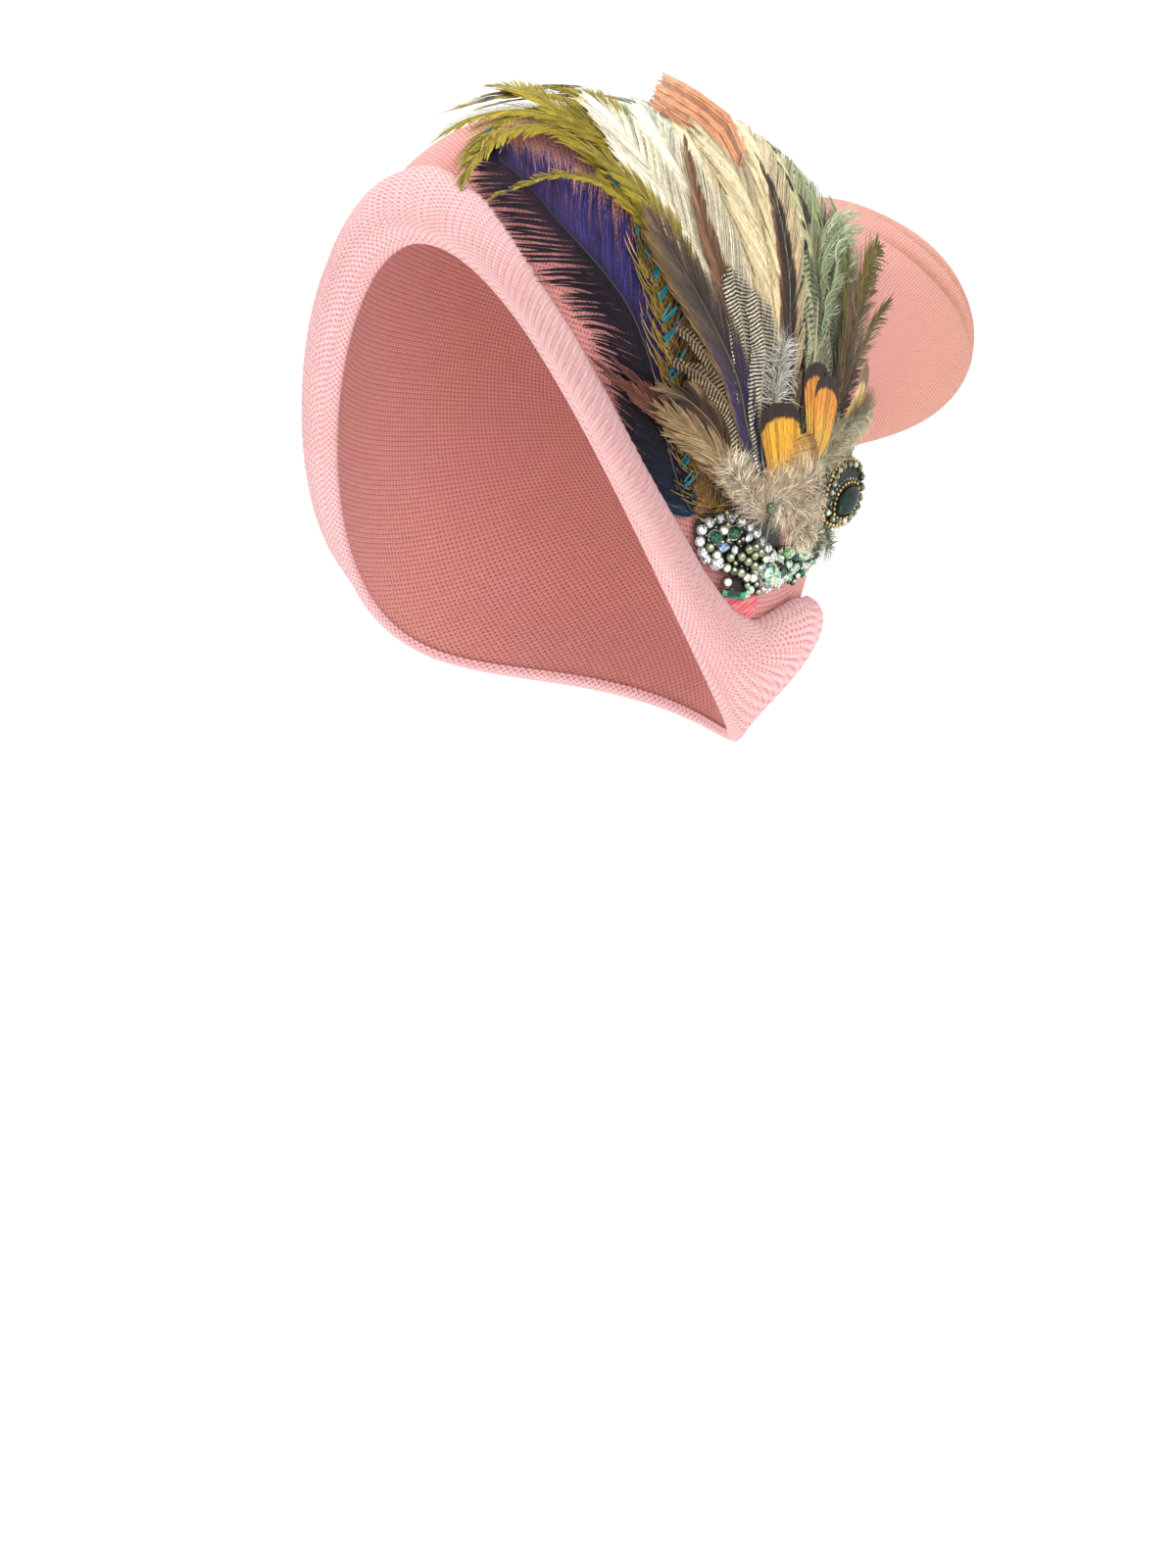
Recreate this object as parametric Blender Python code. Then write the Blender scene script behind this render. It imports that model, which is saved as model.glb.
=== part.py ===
"""Flapper beanie: knit crown with a rolled brim and a back pouch, feather fan and beaded motif.

Metres, +Z up, front of the hat to -Y, wearer's left to +X.  The origin is the middle of the
head opening at the height of the front edge.
Places on the crown are given as (around, up): degrees from the front towards the wearer's
left, and rows of SECTIONS counted up from the rim.
"""
import math

import bmesh
import bpy
import numpy as np
from mathutils import Matrix, Vector

MM = 0.001
WALL = 2.4              # knit thickness of the crown
SEAT_GAP = 0.45         # between the crown and what is sewn on it
TURNS = 36              # facets round the crown and the brim
PLY = 1.15              # pitch of the feather layers
PLATE = 0.5             # thickness of a feather's web at its edge
QUILL = 0.2             # how far the shaft stands above the web
FELT = 1.2              # thickness of the felt under the fan

# Crown sections from the rim to the end of the pouch, mm: where each one crosses the front
# line, the wearer's left (and, mirrored, right) and the back line; lean moves it to the left.
# front y, front z, side x, side y, side z, back y, back z, lean
SECTIONS = np.array([
    (-98,  -6, 79,  -3, -116,  70, -134,  0),
    (-97,  14, 82,   1,  -91,  86, -110,  0),
    (-86,  29, 82,   4,  -63,  96,  -86,  0),
    (-61,  44, 79,  13,  -35, 100,  -68,  0),
    (-20,  56, 72,  28,   -6, 101,  -53,  0),
    ( 30,  59, 60,  52,   14, 103,  -42,  3),
    ( 73,  51, 49,  84,   15, 110,  -35,  9),
    (103,  56, 45, 113,   14, 125,  -31, 15),
    (132,  52, 40, 138,   15, 145,  -20, 21),
    (153,  36, 25, 155,   15, 158,   -6, 24),
    (161,  15,  0, 161,   15, 161,   15, 25),
], float)
EGG = 0.10              # the crown is this much narrower in front than behind, low down

# Rolled brim by angle: how many sections it climbs, how far it bulges in mm, and how far
# the bulge is pushed towards the top edge (1 is even).
# around, climb, bulge, push
ROLL = np.array([
    (  0, 1.05, 9.5, 1.0),
    ( 15, 0.90, 9.0, 1.0),
    ( 30, 0.62, 8.0, 1.0),
    ( 60, 0.52, 7.5, 1.0),
    ( 80, 0.60, 7.5, 1.0),
    ( 92, 0.72, 7.5, 1.3),
    (108, 1.35, 8.5, 2.0),
    (135, 1.80, 6.5, 2.4),
    (180, 1.90, 6.5, 2.4),
], float)
ROLL_EDGE = 1.1         # knit thickness at the two edges of the roll

# Feathers: place of the root, the middle of the shaft and the tip as (around, up), full width
# in mm, layer above the felt, and the outline.
# name, root, middle, tip, width, layer, outline
FEATHERS = [
    ("feather_mint",         (85, 2.20), (38, 3.20), (-6, 3.20), 26,  0, "blade"),
    ("feather_green_edge",   (91, 2.55), (80, 4.25), (36, 4.95), 20,  0, "serrated"),
    ("herl_olive",           (75, 1.35), (59, 1.60), (44, 2.30), 11,  0, "serrated"),
    ("biot_peach",           (86, 2.35), (42, 4.00), ( 9, 4.20), 24,  1, "blunt"),
    ("sword_olive_back",     (82, 2.00), (42, 2.80), (-4, 2.95), 13,  1, "serrated"),
    ("hackle_green",         (89, 2.60), (67, 4.15), (31, 4.60), 22,  2, "serrated"),
    ("plume_navy",           (71.5, 1.16), (42, 1.70), (10, 1.58), 34,  2, "plume"),
    ("hackle_cream_back",    (87, 2.45), (66, 3.45), (36, 3.90), 24,  3, "serrated"),
    ("sword_olive_middle",   (80, 1.85), (38, 2.60), ( 7, 1.70), 11,  3, "serrated"),
    ("hackle_black_tip",     (86, 2.55), (67, 3.65), (40, 4.30), 10,  4, "blade"),
    ("sword_olive_front",    (79, 1.75), (42, 2.55), (16, 1.10),  6,  4, "serrated"),
    ("feather_cream",        (84, 2.20), (57, 2.84), (21, 3.15), 24,  5, "serrated"),
    ("flank_barred_back",    (93, 2.70), (88, 3.70), (79, 4.30), 16,  1, "blunt"),
    ("hackle_slate",         (78, 1.85), (60, 2.30), (38, 2.46), 14,  6, "blade"),
    ("hackle_brown_tip",     (83, 2.45), (56, 3.00), (31, 3.60), 11,  6, "blade"),
    ("hackle_dark_edge",     (94, 2.80), (98, 4.00), (88, 4.90), 11,  2, "blade"),
    ("flank_barred_middle",  (83, 2.10), (70, 2.72), (56, 3.08), 15,  7, "blunt"),
    ("hackle_tan_low",       (80, 1.60), (62, 1.28), (46, 0.76), 11,  7, "blade"),
    ("flank_barred_front",   (80, 1.88), (69, 2.05), (59, 1.92), 12,  7, "blunt"),
    ("hackle_tan_wide",      (82, 1.72), (71, 1.66), (60, 1.56), 20,  8, "blunt"),
    ("tippet_gold_middle",   (85, 2.00), (81, 2.44), (77, 2.84), 15,  8, "blunt"),
    ("tippet_gold_back",     (91, 2.50), (88, 3.08), (85, 3.56), 17,  8, "blunt"),
    ("tippet_gold_edge",     (96, 2.85), (106, 3.80), (107, 4.50), 11, 3, "blunt"),
    ("tippet_gold_low",      (84, 2.05), (89, 2.42), (94, 2.76),  9,  9, "blunt"),
    ("fluff_grey",           (80, 2.40), (76, 2.80), (73, 3.20), 16,  9, "plume"),
    ("marabou_olive",        (96, 2.95), (105, 3.78), (112, 4.45), 18, 4, "plume"),
    ("marabou_beige",        (80, 1.72), (86, 2.05), (93, 2.38), 32, 10, "plume"),
]
# Outline of each kind: half width as a share of the full one at even steps from root to tip.
OUTLINES = {
    "blade":    (0.05, 0.34, 0.48, 0.50, 0.49, 0.46, 0.42, 0.37, 0.31, 0.24, 0.16, 0.08, 0.03),
    "blunt":    (0.05, 0.16, 0.27, 0.36, 0.43, 0.47, 0.50, 0.50, 0.49, 0.47, 0.42, 0.32, 0.12),
    "serrated": (0.05, 0.30, 0.46, 0.36, 0.50, 0.38, 0.50, 0.36, 0.46, 0.31, 0.37, 0.20, 0.04),
    "plume":    (0.10, 0.42, 0.30, 0.50, 0.33, 0.50, 0.34, 0.48, 0.32, 0.43, 0.27, 0.31, 0.05),
}

# Beaded pieces are laid out in mm along and up the crown from this place.
MOTIF = (88, 1.42)
ALONG = 1.96            # mm for a degree there
UP = 27.9               # mm for a section there
GROUND = 1.0            # thickness of the beading ground
STONE_GAP = 0.3         # under a stone that is set by hand

# Beads sewn through the ground: along, up, radius.  The first rows are the rhinestone edge.
PEAR_BEADS = [
    (-29.0, -13.0, 1.4), (-27.0, -8.6, 1.5), (-23.2, -4.4, 1.5), (-18.9, -1.4, 1.5),
    (-14.2, 0.6, 1.5), (-9.4, 2.6, 1.4), (-4.6, 3.9, 1.4), (-0.2, 4.8, 1.2), (3.0, 4.4, 1.1),
    (-28.2, -17.2, 1.3), (-24.8, -19.4, 1.3), (-20.6, -19.6, 1.3), (-12.4, -14.8, 1.4),
    (-20.6, -8.0, 1.5), (-23.8, -14.6, 1.6), (-17.0, -5.6, 1.5), (-9.0, -0.8, 1.5),
    (-5.2, 0.6, 1.5), (-1.2, 1.7, 1.3), (-7.4, -6.0, 1.7), (-3.2, -3.6, 1.7), 
    (-12.2, -7.6, 1.8), (-8.4, -10.6, 1.6),
]
STRIP_BEADS = [
    (16.6, 10.2, 1.3), (20.6, 12.6, 1.3), (20.6, 8.4, 1.4), (24.8, 10.8, 1.5), (25.0, 14.8, 1.3),
    (29.2, 12.6, 1.4), (37.0, 22.8, 1.3), (40.4, 19.4, 1.4), (43.4, 23.6, 1.4),
    (47.4, 26.4, 1.3),
]
# Path of the lower beaded strip: along, up, half width.
STRIP = [(-4, -15.8, 2.6), (4, -8.0, 2.6), (10, 0.2, 4.6), (20, 9.5, 5.0), (30, 14.5, 4.8),
         (40, 21, 4.6), (49, 27.5, 3.0)]
CHATON = (10.0, 0.6)
# Stones set one by one: name, along, up, size (radius), length over width, turn, colour.
STONES = [
    ("crystal_green_left",  (-20.0, -11.8), 1.8, 1.0,   0, (0.01, 0.22, 0.12)),
    ("crystal_green_right", (-12.8, -3.6),  1.9, 1.0,  20, (0.01, 0.22, 0.12)),
    ("crystal_blue_drop",   (-16.0, -9.6),  1.2, 1.3,  60, (0.45, 0.62, 0.85)),
    ("rhinestone_large",    (-18.2, -15.8), 1.7, 1.0,   0, (0.80, 0.80, 0.82)),
    ("baguette_green",      (0.2, -11.6),   1.7, 2.6,  42, (0.00, 0.25, 0.16)),
    ("chaton_iridescent",   CHATON,         3.2, 1.0,  10, (0.40, 0.75, 0.65)),
    ("crystal_iridescent",  (34.6, 19.0),   2.2, 1.0,   0, (0.70, 0.80, 0.78)),
]


def row_at(up):
    """The section at any height, as a smooth curve through the rows."""
    up = np.clip(np.asarray(up, float), 0, len(SECTIONS) - 1)
    rows = np.vstack([2 * SECTIONS[0] - SECTIONS[1], SECTIONS, 2 * SECTIONS[-1] - SECTIONS[-2]])
    k = np.minimum(up.astype(int), len(SECTIONS) - 2)
    f = (up - k)[..., None]
    a, b, c, d = rows[k], rows[k + 1], rows[k + 2], rows[k + 3]
    return 0.5 * (2 * b + (c - a) * f + (2 * a - 5 * b + 4 * c - d) * f * f
                  + (3 * b - a - 3 * c + d) * f ** 3)


def crown_at(around, up):
    """Point of the crown's outer face, mm."""
    turn = np.radians(np.asarray(around, float))
    fy, fz, sx, sy, sz, by, bz, lean = np.moveaxis(row_at(up), -1, 0)
    c, s, c2 = np.cos(turn), np.sin(turn), np.cos(2 * turn)

    def blend(front, side, back):
        middle = (front + back) / 2
        return (middle + side) / 2 + (front - back) / 2 * c + (middle - side) / 2 * c2

    egg = 1 - EGG * c * np.clip(1 - np.asarray(up) / 6, 0, 1)
    return np.stack([sx * s * egg + lean, blend(fy, sy, by), blend(fz, sz, bz)], -1)


def slopes(around, up):
    """Change of the outer face for a degree round and for a section up, mm."""
    low, high = np.clip(np.asarray(up) - 0.02, 0, 9.98), np.clip(np.asarray(up) + 0.02, 0.02, 10)
    side = crown_at(around + 0.5, up) - crown_at(around - 0.5, up)
    rise = (crown_at(around, high) - crown_at(around, low)) / (high - low)[..., None]
    return side, rise


def on_crown(around, up, out=0.0):
    """Point standing off the outer face, mm."""
    around, up = np.asarray(around, float), np.asarray(up, float)
    side, rise = slopes(around, up)
    normal = np.cross(side, rise)
    normal /= np.linalg.norm(normal, axis=-1, keepdims=True)
    return crown_at(around, up) + normal * np.asarray(out, float)[..., None]


def material(name, colour, rough, metal=0.0):
    made = bpy.data.materials.new(name)
    made.use_nodes = True
    face = made.node_tree.nodes["Principled BSDF"]
    face.inputs["Base Color"].default_value = (*colour, 1)
    face.inputs["Roughness"].default_value = rough
    face.inputs["Metallic"].default_value = metal
    made.diffuse_color = (*colour, 1)
    return made


def finish(name, bm, colour, rough=0.8, metal=0.0):
    bmesh.ops.recalc_face_normals(bm, faces=bm.faces)
    mesh = bpy.data.meshes.new(name)
    bm.to_mesh(mesh)
    bm.free()
    made = bpy.data.objects.new(name, mesh)
    bpy.context.scene.collection.objects.link(made)
    mesh.materials.append(material(name, colour, rough, metal))
    return made


def add_plate(bm, top, bottom):
    """Closed plate between two grids of points, mm, rows by columns."""
    rows, cols = top.shape[:2]
    upper = [[bm.verts.new(p * MM) for p in row] for row in top]
    lower = [[bm.verts.new(p * MM) for p in row] for row in bottom]
    for r in range(rows - 1):
        for c in range(cols - 1):
            bm.faces.new((upper[r][c], upper[r][c + 1], upper[r + 1][c + 1], upper[r + 1][c]))
            bm.faces.new((lower[r][c], lower[r + 1][c], lower[r + 1][c + 1], lower[r][c + 1]))
        for c in (0, cols - 1):
            bm.faces.new((upper[r][c], upper[r + 1][c], lower[r + 1][c], lower[r][c]))
    for r in (0, rows - 1):
        for c in range(cols - 1):
            bm.faces.new((upper[r][c], lower[r][c], lower[r][c + 1], upper[r][c + 1]))


def patch(name, centre, half, tilt, low, thick, colour, dome=0.0, rough=0.8, metal=0.0, point=0.0):
    """Oval or pointed sheet lying on the crown, laid out in mm from the motif's place."""
    turns, rings = 20, 3
    angle = np.linspace(0, 2 * math.pi, turns, endpoint=False)
    squeeze = 1 - point * np.abs(np.sin(angle)) ** 3
    c, s = math.cos(math.radians(tilt)), math.sin(math.radians(tilt))
    bm = bmesh.new()
    faces = []
    for level in (low, low + thick):
        loops = []
        for k in range(1, rings + 1):
            share = math.sin(k / rings * math.pi / 2)
            x = half[0] * share * np.cos(angle) * squeeze
            y = half[1] * share * np.sin(angle)
            lift = dome * math.sqrt(max(0.0, 1 - share * share)) if level > low else 0.0
            points = on_crown(MOTIF[0] + (centre[0] + x * c - y * s) / ALONG,
                              MOTIF[1] + (centre[1] + x * s + y * c) / UP,
                              np.full(turns, level + lift))
            loops.append([bm.verts.new(p * MM) for p in points])
        heart = on_crown(MOTIF[0] + centre[0] / ALONG, MOTIF[1] + centre[1] / UP,
                         level + (dome if level > low else 0.0))
        hub = bm.verts.new(heart * MM)
        for i in range(turns):
            j = (i + 1) % turns
            bm.faces.new((hub, loops[0][i], loops[0][j]))
            for inner, outer in zip(loops, loops[1:]):
                bm.faces.new((inner[i], outer[i], outer[j], inner[j]))
        faces.append(loops[-1])
    for i in range(turns):
        j = (i + 1) % turns
        bm.faces.new((faces[0][i], faces[0][j], faces[1][j], faces[1][i]))
    return finish(name, bm, colour, rough, metal)


def motif_frame(along, up, out):
    """Matrix whose Z stands off the crown at a place of the beaded motif."""
    around, rows = MOTIF[0] + along / ALONG, MOTIF[1] + up / UP
    side, rise = slopes(np.asarray(around, float), np.asarray(rows, float))
    z = Vector(np.cross(side, rise)).normalized()
    x = Vector(side).normalized()
    y = z.cross(x)
    spot = Vector(on_crown(around, rows, out)) * MM
    return Matrix.Translation(spot) @ Matrix((x, y, z)).transposed().to_4x4()


def add_bead(bm, along, up, out, radius):
    bmesh.ops.create_uvsphere(bm, u_segments=10, v_segments=4, radius=radius * MM,
                              matrix=motif_frame(along, up, out))


def add_stone(bm, along, up, out, size, stretch=1.0, turn=0.0, facets=8):
    """Cut stone: flat back, girdle, crown facets and a table."""
    place = motif_frame(along, up, out) @ Matrix.Rotation(math.radians(turn), 4, "Z")
    profile = ((0.70, 0.0), (1.0, 0.35), (1.0, 0.45), (0.58, 0.80))
    loops = []
    for radius, height in profile:
        ring = []
        for k in range(facets):
            a = 2 * math.pi * (k + 0.5) / facets
            at = Matrix.Translation((radius * size * stretch * math.cos(a) * MM,
                                     radius * size * math.sin(a) * MM, height * size * MM))
            ring.append(bm.verts.new((place @ at).translation))
        loops.append(ring)
    bm.faces.new(loops[0])
    bm.faces.new(loops[-1])
    for inner, outer in zip(loops, loops[1:]):
        for k in range(facets):
            j = (k + 1) % facets
            bm.faces.new((inner[k], inner[j], outer[j], outer[k]))


def fuse(base, bm):
    """Unite a set of loose beads with the sheet they are sewn to."""
    beads = finish("beads_tool", bm, (1, 1, 1))
    joint = base.modifiers.new("sewn", "BOOLEAN")
    joint.operation, joint.solver, joint.object = "UNION", "EXACT", beads
    bpy.context.view_layer.update()
    whole = bpy.data.meshes.new_from_object(base.evaluated_get(
        bpy.context.evaluated_depsgraph_get()))
    base.modifiers.clear()
    old = base.data
    whole.name = old.name + "_sewn"
    base.data = whole
    bpy.data.meshes.remove(old)
    bpy.data.objects.remove(beads, do_unlink=True)


def add_ring_of_beads(bm, along, up, out, ring, radius, count):
    for k in range(count):
        a = 2 * math.pi * k / count
        add_bead(bm, along + ring * math.cos(a), up + ring * math.sin(a), out, radius)


for stale in list(bpy.data.objects):
    bpy.data.objects.remove(stale, do_unlink=True)

# Knit crown: the outer face drawn row by row, closed at the end of the pouch, then given its
# thickness inwards; the rim stays open for the head.
levels = np.concatenate([np.linspace(0, 8.4, 11), (9.0, 9.6)])
angles = np.arange(TURNS) * 360 / TURNS
bm = bmesh.new()
rings = [[bm.verts.new(p * MM) for p in crown_at(angles, np.full(TURNS, u))] for u in levels]
for low, high in zip(rings, rings[1:]):
    for i in range(TURNS):
        j = (i + 1) % TURNS
        bm.faces.new((low[i], low[j], high[j], high[i]))
end = bm.verts.new(crown_at(0.0, 10.0) * MM)
for i in range(TURNS):
    bm.faces.new((rings[-1][i], rings[-1][(i + 1) % TURNS], end))
crown = finish("knit_crown", bm, (0.86, 0.44, 0.42), 0.9)
knit = crown.modifiers.new("knit", "SOLIDIFY")
knit.thickness = WALL * MM
knit.offset = -1
knit.use_rim = True

# Rolled brim: a soft roll round the outside of the rim, deepest over the nape.
bm = bmesh.new()
loops = []
for a in angles:
    away = abs((a + 180) % 360 - 180)
    climb, bulge, push = (np.interp(away, ROLL[:, 0], ROLL[:, k]) for k in (1, 2, 3))
    q = (1 - np.cos(np.linspace(0, math.pi, 9))) / 2
    outer = on_crown(np.full(9, a), climb * q,
                     SEAT_GAP + ROLL_EDGE + bulge * np.sqrt(1 - (2 * q ** push - 1) ** 2))
    inner = on_crown(np.full(6, a), climb * np.linspace(1, 0, 6), np.full(6, SEAT_GAP + 0.1))
    loops.append([bm.verts.new(p * MM) for p in (*outer, *inner)])
for here, there in zip(loops, loops[1:] + loops[:1]):
    for i in range(len(here)):
        j = (i + 1) % len(here)
        bm.faces.new((here[i], here[j], there[j], there[i]))
finish("rolled_brim", bm, (0.93, 0.62, 0.60), 0.9)

# Felt under the fan, where every quill ends.
patch("felt_backing", (-7, 14), (25, 25), 0, SEAT_GAP, FELT, (0.06, 0.06, 0.07), rough=0.95)

# Feathers: thin webs with a raised shaft, one layer above another, following the crown.
COLOURS = {
    "feather_mint": (0.72, 0.82, 0.68), "feather_green_edge": (0.30, 0.42, 0.24),
    "herl_olive": (0.33, 0.30, 0.05), "biot_peach": (0.72, 0.36, 0.18),
    "sword_olive_back": (0.42, 0.40, 0.05), "hackle_green": (0.55, 0.58, 0.36),
    "plume_navy": (0.05, 0.04, 0.14), "hackle_cream_back": (0.76, 0.68, 0.50),
    "sword_olive_middle": (0.42, 0.40, 0.05), "hackle_black_tip": (0.06, 0.04, 0.04),
    "sword_olive_front": (0.48, 0.42, 0.12), "feather_cream": (0.80, 0.76, 0.66),
    "flank_barred_back": (0.34, 0.32, 0.24), "hackle_slate": (0.10, 0.09, 0.11),
    "hackle_brown_tip": (0.22, 0.13, 0.08), "hackle_dark_edge": (0.10, 0.07, 0.05),
    "flank_barred_middle": (0.42, 0.40, 0.38), "hackle_tan_low": (0.32, 0.20, 0.12),
    "flank_barred_front": (0.26, 0.20, 0.14), "hackle_tan_wide": (0.50, 0.40, 0.26),
    "tippet_gold_middle": (0.76, 0.44, 0.06), "tippet_gold_back": (0.76, 0.44, 0.08),
    "tippet_gold_edge": (0.74, 0.50, 0.18), "tippet_gold_low": (0.74, 0.46, 0.10),
    "marabou_beige": (0.50, 0.42, 0.30), "marabou_olive": (0.36, 0.34, 0.22),
    "fluff_grey": (0.52, 0.50, 0.44),
}
for name, root, middle, tip, width, layer, outline in FEATHERS:
    shares = np.array(OUTLINES[outline])
    t = np.linspace(0, 1, len(shares))
    root, middle, tip = (np.array(p, float) for p in (root, middle, tip))
    bend = 2 * middle - (root + tip) / 2
    spine = ((1 - t) ** 2)[:, None] * root + (2 * t * (1 - t))[:, None] * bend + (t * t)[:, None] * tip
    heading = np.gradient(spine, axis=0)
    side, rise = slopes(spine[:, 0], spine[:, 1])
    run = side * heading[:, :1] + rise * heading[:, 1:]
    normal = np.cross(side, rise)
    across = np.cross(normal, run)
    across /= np.linalg.norm(across, axis=1, keepdims=True)
    gram = np.array([[(side * side).sum(1), (side * rise).sum(1)],
                     [(side * rise).sum(1), (rise * rise).sum(1)]]).transpose(2, 0, 1)
    goal = np.stack([(across * side).sum(1), (across * rise).sum(1)], -1)
    per_mm = np.linalg.solve(gram, goal[..., None])[..., 0]
    half = np.maximum(shares * width, 0.5)
    low = SEAT_GAP + FELT + 0.45 + layer * PLY
    columns = []
    for k, crest in ((-1, 0), (0, QUILL), (1, 0)):
        place = spine + per_mm * (k * half)[:, None]
        columns.append((on_crown(place[:, 0], place[:, 1], np.full(len(t), low + PLATE + crest)),
                        on_crown(place[:, 0], place[:, 1], np.full(len(t), low))))
    bm = bmesh.new()
    add_plate(bm, np.stack([c[0] for c in columns], 1), np.stack([c[1] for c in columns], 1))
    finish(name, bm, COLOURS[name], 0.6)

# Beaded motif: a pear of black beading ground with its beads sewn through it.
ground_low = SEAT_GAP + FELT + 0.45
ground_top = ground_low + GROUND
pear = patch("pear_motif", (-12.5, -6.8), (19.0, 8.6), 35, ground_low, GROUND, (0.10, 0.12, 0.11),
             rough=0.3)
bm = bmesh.new()
for along, up, radius in PEAR_BEADS:
    add_bead(bm, along, up, ground_top + 0.45 * radius, radius)
fuse(pear, bm)

# Lower strip of pearls that carries the large iridescent stone in its ring of rhinestones.
path = np.array(STRIP, float)
steps = np.linspace(0, len(path) - 1, 15)
along, up, half = (np.interp(steps, np.arange(len(path)), path[:, k]) for k in range(3))
heading = np.stack([np.gradient(along), np.gradient(up)], -1)
heading /= np.linalg.norm(heading, axis=1, keepdims=True)
sheets = []
for out in (ground_top, ground_low):
    sheets.append(np.stack([on_crown(MOTIF[0] + (along - k * half * heading[:, 1]) / ALONG,
                                     MOTIF[1] + (up + k * half * heading[:, 0]) / UP,
                                     np.full(len(steps), out)) for k in (-1, 0, 1)], 1))
bm = bmesh.new()
add_plate(bm, *sheets)
strip = finish("pearl_strip", bm, (0.14, 0.26, 0.20), 0.3)
bm = bmesh.new()
for along, up, radius in STRIP_BEADS:
    add_bead(bm, along, up, ground_top + 0.45 * radius, radius)
add_ring_of_beads(bm, *CHATON, ground_top + 0.4, 4.35, 0.95, 10)
fuse(strip, bm)

for name, spot, size, stretch, turn, colour in STONES:
    bm = bmesh.new()
    add_stone(bm, *spot, ground_top + STONE_GAP, size, stretch, turn)
    finish(name, bm, colour, 0.05)

# Padded leaf at the back edge of the fan with a pointed oval cabochon.
leaf = ((40, 43), (8.5, 15.5), -10)
patch("cabochon_leaf", *leaf, SEAT_GAP, 6.0, (0.10, 0.13, 0.11), dome=1.2, rough=0.4, point=0.35)
patch("cabochon_green", leaf[0], (3.6, 8.0), -10, SEAT_GAP + 6.0 + 1.2 + STONE_GAP, 1.0,
      (0.00, 0.10, 0.08), dome=1.6, rough=0.05, point=0.35)

# Satin scrap tucked in below the motif.
patch("satin_scrap", (6, -12.5), (8, 4), 45, SEAT_GAP, 1.0, (0.75, 0.22, 0.25), rough=0.35)

# Pin through the fluff: a pearl head on a straight stem.
fan_top = ground_low + 10 * PLY + PLATE + QUILL
bm = bmesh.new()
add_bead(bm, -9, 15, fan_top + SEAT_GAP + 1.9, 1.9)
pin = finish("hat_pin", bm, (0.35, 0.42, 0.24), 0.2)
head = np.array(motif_frame(-9, 15, fan_top + SEAT_GAP + 1.9).translation)
foot = np.array(motif_frame(-6, 5.0, fan_top + SEAT_GAP + 0.5).translation)
bm = bmesh.new()
line = Vector(foot - head)
turn = line.to_track_quat("Z", "Y").to_matrix().to_4x4()
bmesh.ops.create_cone(bm, cap_ends=True, segments=8, radius1=0.45 * MM, radius2=0.3 * MM,
                      depth=line.length, matrix=Matrix.Translation((head + foot) / 2) @ turn)
fuse(pin, bm)
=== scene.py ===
"""Looks of the flapper beanie: a pink knit hat with a rolled brim, a feather fan and beadwork."""
import math

import bmesh
import bpy
import numpy as np
from mathutils import Matrix, Vector


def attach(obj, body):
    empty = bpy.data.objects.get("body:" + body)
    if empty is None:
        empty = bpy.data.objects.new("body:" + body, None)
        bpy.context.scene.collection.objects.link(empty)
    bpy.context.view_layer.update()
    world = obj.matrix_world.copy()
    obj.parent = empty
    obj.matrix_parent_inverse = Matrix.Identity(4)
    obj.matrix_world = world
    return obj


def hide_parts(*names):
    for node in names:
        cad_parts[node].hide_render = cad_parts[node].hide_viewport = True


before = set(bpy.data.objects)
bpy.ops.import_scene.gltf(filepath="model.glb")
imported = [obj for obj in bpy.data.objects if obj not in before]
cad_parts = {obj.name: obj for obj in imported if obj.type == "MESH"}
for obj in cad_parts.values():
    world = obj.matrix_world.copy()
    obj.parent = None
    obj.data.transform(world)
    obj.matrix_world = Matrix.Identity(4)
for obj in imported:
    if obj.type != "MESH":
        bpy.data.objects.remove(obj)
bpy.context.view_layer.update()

# Knit crown. A soft tube of pale coral knit, pulled down to the nape and gathered into a slack
# pouch at the back. Machine knitted in the round with small open stitches, one ply thick.
MM = 0.001
# rim to pouch in mm: front y and z, side x, y and z, back y and z, and lean to the left
SECTIONS = np.array([
    (-98, -6, 79, -3, -116, 70, -134, 0), (-97, 14, 82, 1, -91, 86, -110, 0),
    (-86, 29, 82, 4, -63, 96, -86, 0), (-61, 44, 79, 13, -35, 100, -68, 0),
    (-20, 56, 72, 28, -6, 101, -53, 0), (30, 59, 60, 52, 14, 103, -42, 3),
    (73, 51, 49, 84, 15, 110, -35, 9), (103, 56, 45, 113, 14, 125, -31, 15),
    (132, 52, 40, 138, 15, 145, -20, 21), (153, 36, 25, 155, 15, 158, -6, 24),
    (161, 15, 0, 161, 15, 161, 15, 25)], float)
EGG = 0.10              # how much wider the hat is behind than at the brow
WALL = 2.4
WALES = 230             # open stitches once round the hat
COURSE = 2.0            # mm between rows of open stitches
GATHER = 271.0          # mm of cloth from the rim to the gathered end
PLEATS = 34             # little folds round the gather


def between(a, b, c, d, f):
    """Smooth curve through four neighbours, at share f of the way from b to c."""
    return 0.5 * (2 * b + (c - a) * f + (2 * a - 5 * b + 4 * c - d) * f * f
                  + (3 * b - a - 3 * c + d) * f ** 3)


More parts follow.
